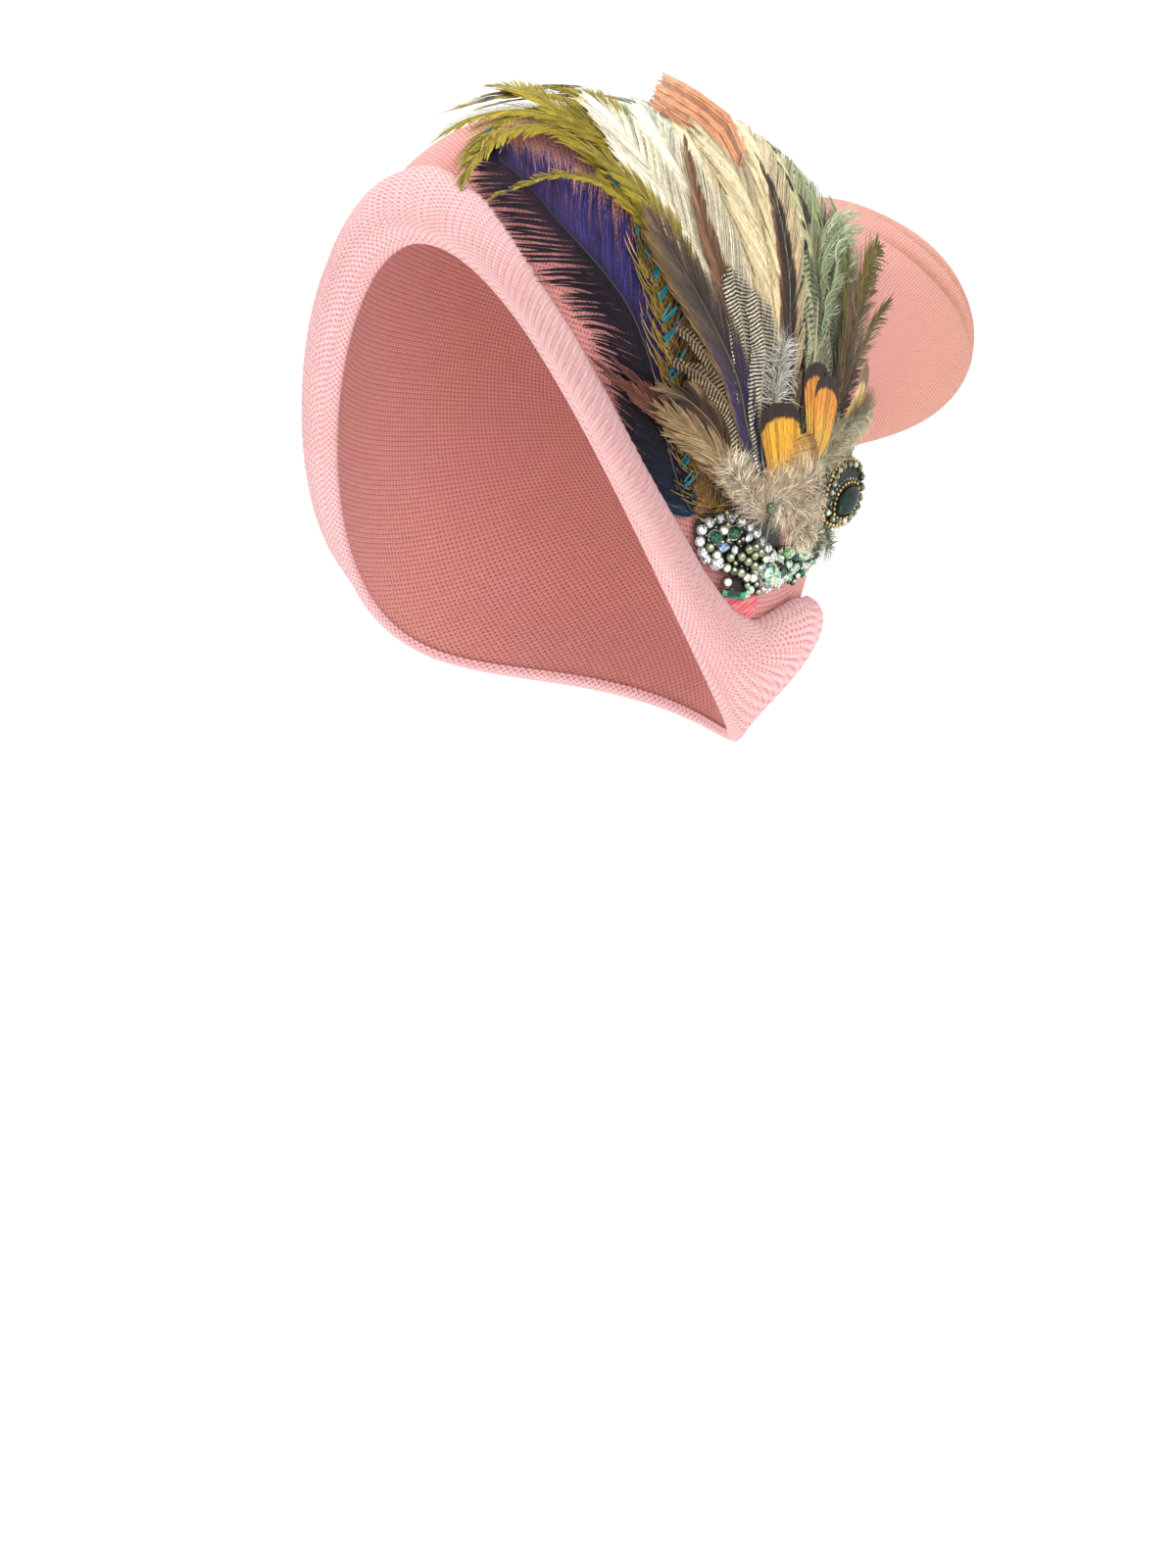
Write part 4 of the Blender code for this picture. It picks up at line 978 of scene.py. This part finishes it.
fluff("fluff_pale", "fluff_grey", 8,
      [([(75.5, 2.55), (74, 2.7), (72.5, 2.86), (71, 3.0)], 380, 10, 46, 4)],
      51, (140, 136, 120), (214, 208, 190), (252, 250, 242))
fluff("marabou_back", "marabou_olive", 5,
      [([(96, 2.9), (99, 3.3), (103, 3.6), (108, 3.9), (113, 4.3)], 2200, 11, 50, 4),
       ([(90, 2.35), (93, 2.6), (95, 2.95), (97, 3.3)], 1100, 8, 45, 2.5)],
      52, (110, 104, 70), (178, 164, 124), (216, 206, 172))
fluff("marabou_front", "marabou_beige", 8.6,
      [([(84, 1.66), (83, 1.85), (85, 2.05), (89, 2.35)], 2300, 13, 48, 2.5),
       ([(82, 1.8), (85.5, 1.95), (89.5, 2.1), (92.5, 2.3)], 2200, 11, 46, 2.5),
       ([(83, 1.66), (79, 1.6), (75, 1.56), (72, 1.55)], 1000, 9, 50, 2),
       ([(88, 1.9), (90, 2.05), (93, 2.2)], 200, 9, 100, 3.5),
       ([(89.5, 1.86), (92, 1.92), (95, 2.02)], 700, 8, 70, 2.5)],
      53, (112, 88, 58), (210, 186, 146), (255, 248, 230))
rng = np.random.default_rng(54)
under_leaf = [filaments(Quill(line, FAN + 2 * PLY), 260, 9, 42, 3.0, rng, thick=0.26) for line in (
    [(101, 2.75), (103, 2.5), (104.5, 2.3)], [(104, 2.6), (107, 2.42), (110, 2.3)],
    [(109, 2.7), (113, 2.6), (117, 2.5)], [(110, 3.0), (114.5, 3.0), (118, 3.0)],
    [(109, 3.35), (113, 3.5), (117, 3.7)])]
fringe = bundle("fringe_leaf", under_leaf,
                downy("green_fringe", tint(58, 74, 36), tint(112, 132, 70), tint(190, 196, 140)))
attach(fringe, "root")

# Pear-shaped beadwork in front of the fan: black net crusted with rhinestones in silver cups
# round its edge, rows of silver-green pearls, and seed beads sewn into the gaps.
GROUND_LOW = SEAT + FELT + 0.45
GROUND_TOP = GROUND_LOW + 1.0       # the net that the beads are sewn to
PEAR = ((-12.5, -6.8), (19.0, 8.6), 35)     # middle, half sizes and tilt
AHEAD = np.array([0.59, -0.81, 0.05])       # towards the wearer's front left
TURNED_DOWN = 0.8       # share of a sewn patch that is its top; the rest is its edge


def in_patch(patch, share, angle, point=0.0):
    """Place in a tilted oval or pointed oval: share of the way out, and direction."""
    (x0, y0), (wide, tall), tilt = patch
    x = wide * share * np.cos(angle) * (1 - point * np.abs(np.sin(angle)) ** 3)
    y = tall * share * np.sin(angle)
    c, s = math.cos(math.radians(tilt)), math.sin(math.radians(tilt))
    return x0 + x * c - y * s, y0 + x * s + y * c


def pad(name, patch, low, thick, finish, dome=0.0, point=0.0, crease=None, lift=None):
    """A sewn patch with a turned-down edge, from the crown up to its own top."""
    def place(s, t):
        angle = s * 2 * math.pi
        share = np.clip(t / TURNED_DOWN, 0, 1)
        x, y = in_patch(patch, share, angle, point)
        edge = t > TURNED_DOWN
        wall = (1 - t) / (1 - TURNED_DOWN)      # from the edge's top to its foot
        out = low + thick + dome * np.sqrt(np.clip(1 - share ** 2, 0, 1))
        out = np.where(edge, low + thick * wall, out)
        if crease:
            out = out + crease(x, y) * (t < 0.85)
        if lift:
            out = out + lift(x) * np.where(edge & (low < 2), wall, 1)
        return by_motif(x, y, out)
    return drape(name, 72, 20, place, lambda s, t, spots: spots[:, :2], finish)


def seed_bead(wide, tall, squash=1.0):
    bm = bmesh.new()
    bmesh.ops.create_uvsphere(bm, u_segments=wide, v_segments=tall, radius=1)
    bmesh.ops.scale(bm, verts=bm.verts, vec=(1, 1, squash))
    return (*arrays(bm), False)


def cut_stone(sides=8, length=1.0):
    """A cut stone: pavilion, girdle, crown facets and table."""
    bm = bmesh.new()
    for low, high, foot, top in ((0.62, 1.0, 0.0, 0.4), (1.0, 1.0, 0.4, 0.5),
                                 (1.0, 0.84, 0.5, 0.72), (0.84, 0.52, 0.72, 0.9)):
        bmesh.ops.create_cone(bm, cap_ends=False, segments=sides, radius1=low, radius2=high,
                              depth=top - foot, matrix=Matrix.Translation((0, 0, (foot + top) / 2)))
    bmesh.ops.remove_doubles(bm, verts=bm.verts, dist=1e-4)
    bmesh.ops.holes_fill(bm, edges=[e for e in bm.edges if e.is_boundary], sides=sides)
    bmesh.ops.poke(bm, faces=[f for f in bm.faces if len(f.verts) > 4])
    bmesh.ops.rotate(bm, verts=bm.verts, matrix=Matrix.Rotation(math.pi / sides, 3, "Z"))
    bmesh.ops.scale(bm, verts=bm.verts, vec=(length, 1, 1))
    bmesh.ops.recalc_face_normals(bm, faces=bm.faces)
    return (*arrays(bm), True)


def cup(sides=12):
    """Silver cup: a thin round wall that the stone sits in, with four claws."""
    bm = bmesh.new()
    wire = Matrix.Translation((1.06, 0, 0.3)) @ Matrix.Rotation(math.pi / 2, 4, "X")
    bmesh.ops.create_circle(bm, segments=5, radius=0.14, matrix=wire)
    bmesh.ops.spin(bm, geom=bm.verts[:] + bm.edges[:], cent=(0, 0, 0), axis=(0, 0, 1),
                   angle=2 * math.pi, steps=sides, use_merge=True)
    for k in range(4):
        turn = Matrix.Rotation(math.pi * (0.25 + k / 2), 4, "Z")
        bmesh.ops.create_icosphere(bm, subdivisions=1, radius=0.2,
                                   matrix=turn @ Matrix.Translation((0.96, 0, 0.56)))
    bmesh.ops.recalc_face_normals(bm, faces=bm.faces)
    return (*arrays(bm), False)


def sewn(seed, places, size, out, rng, slot=0, turn=None, tip=0.12, front=0.0):
    """Copies of a bead at places by the motif: size in mm, height, and how far it faces ahead."""
    spots, faces, flat = seed
    places = np.asarray(places, float)
    size, out = (np.broadcast_to(np.asarray(v, float), len(places)) for v in (size, out))
    around, up = MOTIF[0] + places[:, 0] / ALONG, MOTIF[1] + places[:, 1] / UP
    side, rise = slopes(around, up)
    z = unit(np.cross(side, rise))
    z = unit(z + rng.normal(0, tip, z.shape) + front * AHEAD)
    x = unit(side - (side * z).sum(1, keepdims=True) * z)
    y = np.cross(z, x)
    a = rng.uniform(0, 2 * math.pi, len(places)) if turn is None else np.radians(
        np.broadcast_to(np.asarray(turn, float), len(places)))
    u = x * np.cos(a)[:, None] + y * np.sin(a)[:, None]
    v = np.cross(z, u)
    points = by_motif(places[:, 0], places[:, 1], out)[:, None] + np.einsum(
        "vi,nij->nvj", spots, np.stack([u, v, z], 1)) * size[:, None, None]
    flatmap = np.broadcast_to(spots[None, :, :2], (len(places), len(spots), 2))
    return {"points": points, "faces": faces, "UVMap": flatmap, "Lay": flatmap,
            "strand": rng.uniform(0, 1, len(places)), "slot": slot, "flat": flat}


def jewel(name, stops, rough=0.06, metal=0.0, coat=1.0, by="facet"):
    """Glass, foil or pearl: the colour steps from facet to facet as painted reflections, light and
    dark, or from bead to bead; a round bead also gets painted shade and a painted highlight.
    """
    mat = Finish(name, rough, Metallic=metal, Coat_Weight=coat, Coat_Roughness=0.03,
                 Specular_IOR_Level=0.8)
    pick = mat.add("Attribute", attribute_name=by, out=2)
    cloud = mat.grain(700.0, detail=2.0)
    # painted reflections: by facet, each facet takes its own light or dark step of the colours; by
    # strand, each bead takes its own tone
    colour = mat.ramp(mat.sum("MULTIPLY_ADD", mat.sum("SUBTRACT", cloud, 0.5), 0.5, pick), stops)
    if by == "strand":          # painted shade: a round bead is darkened towards its foot
        x, y, _ = mat.split(mat.add("UVMap", uv_map="UVMap"))
        colour = mat.mix(mat.spread(mat.far(x, y), 0.5, 1.0, 0.0, 0.9), colour, tint(*stops[0][1:]))
        # painted highlight: a light spot a little off the middle of the bead's top, in the lightest
        # colour of the run
        x, y = (mat.sum("SUBTRACT", c, shift) for c, shift in ((x, -0.12), (y, 0.22)))
        painted_highlight = mat.spread(mat.far(x, y), 0.16, 0.42, 0.9, 0.0)
        colour = mat.mix(painted_highlight, colour, tint(*stops[-1][1:]))
    return mat.done(colour, (cloud, 0.02))


SILVER = jewel("silver_cup", [(0, 120, 118, 112), (0.5, 190, 188, 180), (1, 236, 236, 230)],
               rough=0.22, metal=1.0, coat=0.0)
PASTE = jewel("clear_paste", [(0, 60, 66, 70), (0.3, 160, 166, 170), (0.55, 236, 240, 240),
                              (1, 255, 255, 255)], metal=0.55)
PEARL = jewel("green_pearl", [(0, 26, 34, 20), (0.3, 112, 124, 84), (0.75, 150, 160, 120),
                              (1, 255, 252, 236)], rough=0.12, metal=0.75, coat=0.6, by="strand")
EMERALD = jewel("emerald_glass", [(0, 0, 18, 12), (0.45, 0, 52, 32), (0.8, 2, 92, 58),
                                  (1, 40, 160, 110)], metal=0.3, coat=0.15)
SEEDS = jewel("ground_seeds", [(0, 10, 12, 10), (0.5, 12, 34, 24), (0.78, 22, 86, 56),
                               (0.92, 130, 140, 110), (1, 226, 230, 220)], rough=0.14, metal=0.4,
              by="strand")
AURORA = jewel("aurora_glass", [(0, 10, 84, 70), (0.25, 60, 170, 140), (0.5, 190, 236, 216),
                                (0.7, 236, 214, 196), (0.85, 196, 186, 110), (1, 250, 244, 236)],
               metal=0.4)
LEAFGREEN = jewel("light_green_glass", [(0, 70, 120, 50), (0.5, 140, 190, 116), (1, 224, 244, 214)],
                  metal=0.3)
ROUND, SMALL, STONE, CUP = seed_bead(12, 8), seed_bead(8, 5, 0.8), cut_stone(), cup()
EDGE = [(-20.2, -19.8), (-22.6, -19.6), (-25.2, -18.4), (-26.4, -15.2), (-24.8, -10.8),
        (-21.0, -5.6), (-16.3, -1.2), (-11.2, 1.9), (-6.4, 3.9), (-1.7, 5.2), (2.6, 5.4),
        (7.0, 6.0), (11.2, 6.6)]
PEARLS = [(-18.5, -7.2), (-17.6, -15.4), (-21.5, -16.4), (-6.6, -6.4), (-2.8, -5.0), (1.0, -3.6),
          (4.6, -2.0), (-1.4, 1.0), (2.4, 1.9), (6.4, 2.4), (-4.4, -10.2), (-0.6, -8.8),
          (2.8, -6.4), (-8.4, -17.0), (-11.4, -14.4), (-8.0, -12.6), (-11.6, -10.8),
          (-4.2, -2.0), (-0.4, -1.2)]


def net(name):
    mat = Finish(name, 0.7, Sheen_Weight=0.2)
    holes = mat.add("TexVoronoi", mat.add("TexCoord", out=3), None, 900.0)
    colour = mat.mix(mat.spread(holes, 0.1, 0.5), tint(8, 9, 8), tint(34, 36, 30))
    return mat.done(colour, (holes, 0.2))


def scatter(count, inside, taken, gap, rng):
    """Places for small beads: tried at random, kept clear of the big ones and of each other."""
    kept = list(map(tuple, taken))
    found = []
    for _ in range(count):
        x, y = inside(rng)
        if all((x - a) ** 2 + (y - b) ** 2 > (r + gap) ** 2 for a, b, r in kept):
            kept.append((x, y, gap))
            found.append((x, y))
    return found


rng = np.random.default_rng(61)
STONES = [(-21.4, -12.2, 2.4), (-13.4, -3.4, 2.4), (-15.6, -12.6, 1.5), (-14.6, -16.9, 2.3),
          (-10.3, -7.3, 1.8), (-5.8, 0.9, 1.8)]
taken = [(x, y, 1.5) for x, y in EDGE] + [(x, y, 1.7) for x, y in PEARLS] + STONES


def in_pear(r):
    return in_patch(PEAR, r.uniform() ** 0.5 * 0.95, r.uniform(0, 2 * math.pi))


middling = scatter(500, in_pear, taken, 1.15, rng)
seeds = scatter(1600, in_pear, taken + [(x, y, 1.2) for x, y in middling], 0.66, rng)
beads = bundle("pear_beadwork", [
    sewn(STONE, EDGE, 1.6, GROUND_TOP + 0.5, rng, slot=0, front=0.3),
    sewn(CUP, EDGE, 1.6, GROUND_TOP + 0.2, rng, slot=1, front=0.3),
    sewn(ROUND, PEARLS, 1.9, GROUND_TOP + 1.3, rng, slot=2, turn=0, front=1.0),
    sewn(ROUND, middling, 1.15, GROUND_TOP + 0.7, rng, slot=2, turn=0, front=1.0),
    sewn(STONE, [(-5.8, 0.9), (-10.3, -7.3)], (1.8, 1.6), GROUND_TOP + 0.6, rng, slot=0),
    sewn(SMALL, seeds, 0.68, GROUND_TOP + 0.4, rng, slot=3),
], PASTE, SILVER, PEARL, SEEDS)
under = pad("pear_net", PEAR, GROUND_LOW, 1.0, net("black_net"))
for piece in (beads, under):
    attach(piece, "root")
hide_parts("pear_motif")

# Lower strip: a band of green glass, clear stones and small pearls wired close together, which
# runs back from the large iridescent stone and its ring of little rhinestones.
# mm along, mm up and half width, from front to back
STRIP = np.array([(-4, -15.8, 2.6), (4, -8.6, 2.8), (10, -0.8, 5.2), (20, 8.0, 5.8),
                  (30, 13.0, 5.6), (40, 20, 5.2), (49, 27.0, 3.4)])
CHATON = (12.0, 0.4)


def along_strip(k, across):
    """Place on the strip: how many of its stations along, and -1 to 1 across."""
    stations = np.arange(len(STRIP))
    x, y, half = (np.interp(k, stations, STRIP[:, c]) for c in range(3))
    dx, dy = (np.interp(k, stations, np.gradient(STRIP[:, c])) for c in range(2))
    size = np.hypot(dx, dy)
    return x - across * half * dy / size, y + across * half * dx / size


def on_strip(r):
    return along_strip(r.uniform(0.7, 5.95), r.uniform(-0.95, 0.95))


rng = np.random.default_rng(62)
strip_net = drape(
    "strip_net", 10, 40,
    lambda s, t: by_motif(*along_strip(t * 6, s * 2 - 1), GROUND_LOW + np.sin(s * math.pi) ** 0.3),
    lambda s, t, spots: spots[:, :2], net("strip_black_net"))
halo = [(CHATON[0] + 4.4 * math.cos(a), CHATON[1] + 4.4 * math.sin(a))
        for a in np.linspace(0, 2 * math.pi, 13)[:-1]]
big = [(*CHATON, 3.4), (34.6, 19.0, 2.3), (19.8, 12.2, 2.2)] + [(x, y, 1.0) for x, y in halo]
large = scatter(500, on_strip, big, 1.25, rng)
small = scatter(1500, on_strip, big + [(x, y, 1.3) for x, y in large], 0.6, rng)
# 0 pearl, 1 iridescent, 2 emerald, 3 clear
kind = np.array([1, 0, 1, 3, 1, 0, 2, 1])[rng.permutation(len(large)) % 8]
large = np.array(large)
strip = bundle("strip_beadwork", [
    sewn(STONE, halo, 1.1, GROUND_TOP + 0.5, rng, slot=0, front=0.6),
    sewn(CUP, halo, 1.1, GROUND_TOP + 0.3, rng, slot=1, front=0.6),
    sewn(ROUND, large[kind == 0], 1.35, GROUND_TOP + 1.0, rng, slot=2, turn=0, front=1.0),
    sewn(STONE, large[kind == 1], 1.5, GROUND_TOP + 0.8, rng, slot=5, front=0.8),
    sewn(STONE, large[kind == 3], 1.4, GROUND_TOP + 0.8, rng, slot=0, front=0.8),
    sewn(STONE, large[kind == 2], 1.6, GROUND_TOP + 0.8, rng, slot=4, front=0.8),
    sewn(STONE, [(19.8, 12.2)], 2.3, GROUND_TOP + 1.0, rng, slot=6, front=0.8),
    sewn(SMALL, small, 0.62, GROUND_TOP + 0.35, rng, slot=3),
], PASTE, SILVER, PEARL, SEEDS, EMERALD, AURORA, LEAFGREEN)
for piece in (strip, strip_net):
    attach(piece, "root")
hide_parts("pearl_strip")

# Stones set one by one, each in its own claws: two round emerald pastes, a pale blue drop, a
# large rhinestone, a long green baguette, and two iridescent stones.
# node, place, half size in mm, sides, length by width, turn, glass and slot
GEMS = [
    ("crystal_green_left", (-20.6, -12.0), 2.3, 10, 1.0, 0, EMERALD, "crystal_green"),
    ("crystal_green_right", (-13.2, -3.5), 2.3, 10, 1.0, 20, EMERALD, "crystal_green"),
    ("crystal_blue_drop", (-15.8, -11.0), 1.5, 6, 1.4, 60, jewel(
        "pale_blue_glass", [(0, 30, 60, 120), (0.4, 120, 170, 220), (1, 236, 246, 255)],
        metal=0.4), "crystal_clear"),
    ("rhinestone_large", (-15.6, -16.6), 2.3, 10, 1.0, 0, PASTE, "crystal_clear"),
    ("baguette_green", (-3.6, -17.4), 2.0, 4, 3.3, 44, EMERALD, "crystal_green"),
    ("chaton_iridescent", CHATON, 3.7, 12, 1.0, 10, AURORA, "crystal_clear"),
    ("crystal_iridescent", (34.6, 19.0), 2.3, 8, 1.0, 0, AURORA, "crystal_clear")]
for k, (node, spot, size, sides, length, turn, finish, slot) in enumerate(GEMS):
    pose = {"rng": np.random.default_rng(70 + k), "turn": turn, "tip": 0.0, "front": 0.7}
    rim = size * (0.98 if length < 2 else 0.7)
    gem = bundle(node + "_set", [
        sewn(cut_stone(sides, length), [spot], size, GROUND_TOP + 0.9, **pose),
        sewn(cup(16), [spot], rim, GROUND_TOP + 0.6, slot=1, **pose)], finish, SILVER)
    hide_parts(node)
    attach(gem, "root")

# Padded leaf at the back edge of the fan: black felt over wadding, a dark green pointed
# cabochon in the middle, and rows of gold seed beads and little pearls sewn round it.
LEAF = ((35.2, 41.6), (9.2, 13.6), -26)
LEAF_THICK = 8.0
LEAF_TOP = SEAT + LEAF_THICK
CAB = (36.6, 39.8)
LEAN = 0.42             # the leaf lies on the down, its back edge propped up


def propped(x):
    return LEAN * np.clip(np.asarray(x) - 30, 0, 30)


def row_of(seed, wide, tall, gap, size, out, slot):
    """A ring of beads on the leaf; gap, size and height in mm."""
    places = ring_round(wide, tall, gap)
    return sewn(seed, places, size, LEAF_TOP + out + propped(places[:, 0]), rng, slot=slot)


def ring_round(wide, tall, gap):
    """Places evenly along a pointed oval round the cabochon."""
    a = np.linspace(0, 2 * math.pi, 721)
    spot = LEAF[0] if wide > 6 else CAB
    x, y = in_patch((spot, (wide, tall), LEAF[2]), 1.0, a, 0.35)
    run = np.concatenate([[0], np.cumsum(np.hypot(np.diff(x), np.diff(y)))])
    at = np.linspace(0, run[-1], int(run[-1] / gap) + 1)[:-1]
    return np.stack([np.interp(at, run, x), np.interp(at, run, y)], -1)


rng = np.random.default_rng(81)
leaf = pad("leaf_pad", LEAF, SEAT, LEAF_THICK, net("leaf_black_net"), dome=1.2, point=0.35,
           lift=propped)
GOLD_SEED = jewel("gold_seeds", [(0, 150, 104, 36), (0.4, 222, 178, 96), (1, 252, 226, 160)],
                  rough=0.2, metal=0.9, by="strand")
GREEN_SEED = jewel("green_seeds", [(0, 30, 70, 46), (0.5, 84, 130, 92), (1, 190, 214, 180)],
                   rough=0.15, metal=0.4, by="strand")
rows = bundle("leaf_beadwork", [
    row_of(SMALL, 4.3, 7.9, 1.6, 0.72, 1.5, 0),
    row_of(SMALL, 5.3, 9.2, 1.6, 0.66, 1.0, 1),
    row_of(ROUND, 7.3, 11.4, 2.9, 1.35, 1.2, 2),
    row_of(SMALL, 8.7, 13.2, 1.6, 0.74, 0.6, 0),
    row_of(SMALL, 9.4, 14.0, 1.5, 0.6, -0.9, 1),
], GOLD_SEED, GREEN_SEED, PEARL)
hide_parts("cabochon_leaf")
for piece in (leaf, rows):
    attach(piece, "root")
glass = Finish("cabochon_glass", 0.1, Coat_Weight=0.1, Coat_Roughness=0.02, Specular_IOR_Level=0.35)
depth = glass.grain(160.0, detail=2.0)
cab = pad("cabochon_dome", (CAB, (3.1, 6.6), LEAF[2]), LEAF_TOP + 1.0, 1.2,
          glass.done(glass.mix(glass.spread(depth, 0.3, 0.7), tint(0, 12, 12), tint(0, 42, 36)),
                     (depth, 0.01)), dome=1.7, point=0.35, lift=propped)
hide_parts("cabochon_green")
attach(cab, "root")

# Scrap of pink satin tucked under the beadwork's lower end, gathered into sharp little pleats.
# Its lower edge goes down behind the roll.
satin = Finish("pink_satin", 0.28, Sheen_Weight=0.3, Coat_Weight=0.2, Coat_Roughness=0.3)
thread = satin.add("TexWave", satin.add("TexCoord", out=3), 420.0, 2.0, 2.0)
scrap = pad("satin_tuck", ((3.6, -15.6), (12.5, 4.8), 33), SEAT, 1.2,
            satin.done(satin.mix(satin.spread(thread, 0.2, 0.8), tint(214, 84, 98),
                                 tint(246, 132, 140)), (thread, 0.1)),
            crease=lambda x, y: 0.7 * np.sin((x * 0.75 - y * 0.65) * 2.1) + 0.7)
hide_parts("satin_scrap")
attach(scrap, "root")

# Hat pin: a green pearl head on a thin straight steel stem, stuck through the down at the
# beadwork's upper edge.
PIN_TOP = GROUND_LOW + 10 * PLY + 0.7
head = by_motif(np.array([-11.5]), np.array([7.5]), PIN_TOP + 1.2)[0]
foot = by_motif(np.array([-5.8]), np.array([-2.6]), PIN_TOP - 1.4)[0]
bm = bmesh.new()
line = Vector(foot - head)
bmesh.ops.create_cone(bm, cap_ends=True, segments=10, radius1=0.5 * MM, radius2=0.32 * MM,
                      depth=line.length * MM,
                      matrix=Matrix.Translation(Vector(head + foot) / 2 * MM)
                      @ line.to_track_quat("Z", "Y").to_matrix().to_4x4())
steel = len(bm.faces)
bmesh.ops.create_uvsphere(bm, u_segments=24, v_segments=16, radius=2.0 * MM,
                          matrix=Matrix.Translation(Vector(head) * MM))
for k, face in enumerate(bm.faces):
    face.material_index = 1 if k < steel else 0
pin = shape("pearl_pin", bm, jewel("pin_pearl", [(0, 76, 92, 56), (1, 140, 150, 108)],
                                   rough=0.12, metal=0.5), SILVER)
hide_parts("hat_pin")
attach(pin, "root")

# Studio: a plain pale floor well below the hat, a near-white room that is a little dimmer in
# front, and two large soft lights.
bm = bmesh.new()
bmesh.ops.create_grid(bm, x_segments=1, y_segments=1, size=20.0)
bmesh.ops.translate(bm, verts=bm.verts, vec=(0, 0, -0.42))
paper = Finish("pale_floor", 0.9)
floor = shape("floor", bm, paper.done(paper.mix(paper.grain(2.0), (0.96,) * 3, (0.97,) * 3)))
bpy.context.scene.view_settings.view_transform = "Standard"
room = bpy.data.worlds.new("room")
room.use_nodes = True
nodes, join = room.node_tree.nodes, room.node_tree.links.new
sky, way, axes, dim = nodes["Background"], *(nodes.new("ShaderNode" + kind) for kind in (
    "TexCoord", "SeparateXYZ", "MapRange"))
sky.inputs[0].default_value = (1.0, 1.0, 1.0, 1)
for socket, value in zip(dim.inputs[1:5], (-0.75, 0.05, 0.92, 1.2)):    # dimmer from in front
    socket.default_value = value
join(way.outputs["Generated"], axes.inputs[0])
join(axes.outputs[1], dim.inputs[0])
join(dim.outputs[0], sky.inputs[1])
bpy.context.scene.world = room


def softbox(name, spot, wide, watts):
    lamp = bpy.data.lights.new(name, "AREA")
    lamp.size, lamp.energy, lamp.color = wide, watts, (1.0, 0.98, 0.96)
    held = bpy.data.objects.new(name, lamp)
    held.location = spot
    held.rotation_euler = (Vector((0, 0, -0.02)) - Vector(spot)).to_track_quat("-Z", "Y").to_euler()
    bpy.context.scene.collection.objects.link(held)


softbox("key", (-0.5, -1.3, 1.2), 0.6, 24)
softbox("fill", (1.6, -1.0, 0.3), 1.2, 8)

# Camera: a little above the hat's middle, from the wearer's front left, rolled as in the photo.
azimuth, elevation, roll = (math.radians(a) for a in (36, 3, 14))
back = Vector((math.sin(azimuth) * math.cos(elevation), -math.cos(azimuth) * math.cos(elevation),
               math.sin(elevation)))
level = Vector((math.cos(azimuth), math.sin(azimuth), 0))
upright = back.cross(level)
right = math.cos(roll) * level + math.sin(roll) * upright
up = -math.sin(roll) * level + math.cos(roll) * upright
PIXEL = MM / 3          # of the 1200 x 1600 picture, at the hat's middle
hat_x, hat_y = 620.7, 290.6     # where that middle lies in the picture
aim = (right * (600 - hat_x) - up * (800 - hat_y)) * PIXEL
lens = bpy.data.cameras.new("camera")
lens.lens, lens.sensor_width, lens.clip_start = 81.0, 36.0, 0.05
camera = bpy.data.objects.new("camera", lens)
camera.matrix_world = (Matrix.Translation(aim + back * 1.2)
                       @ Matrix((right, up, back)).transposed().to_4x4())
bpy.context.scene.collection.objects.link(camera)
bpy.context.scene.camera = camera
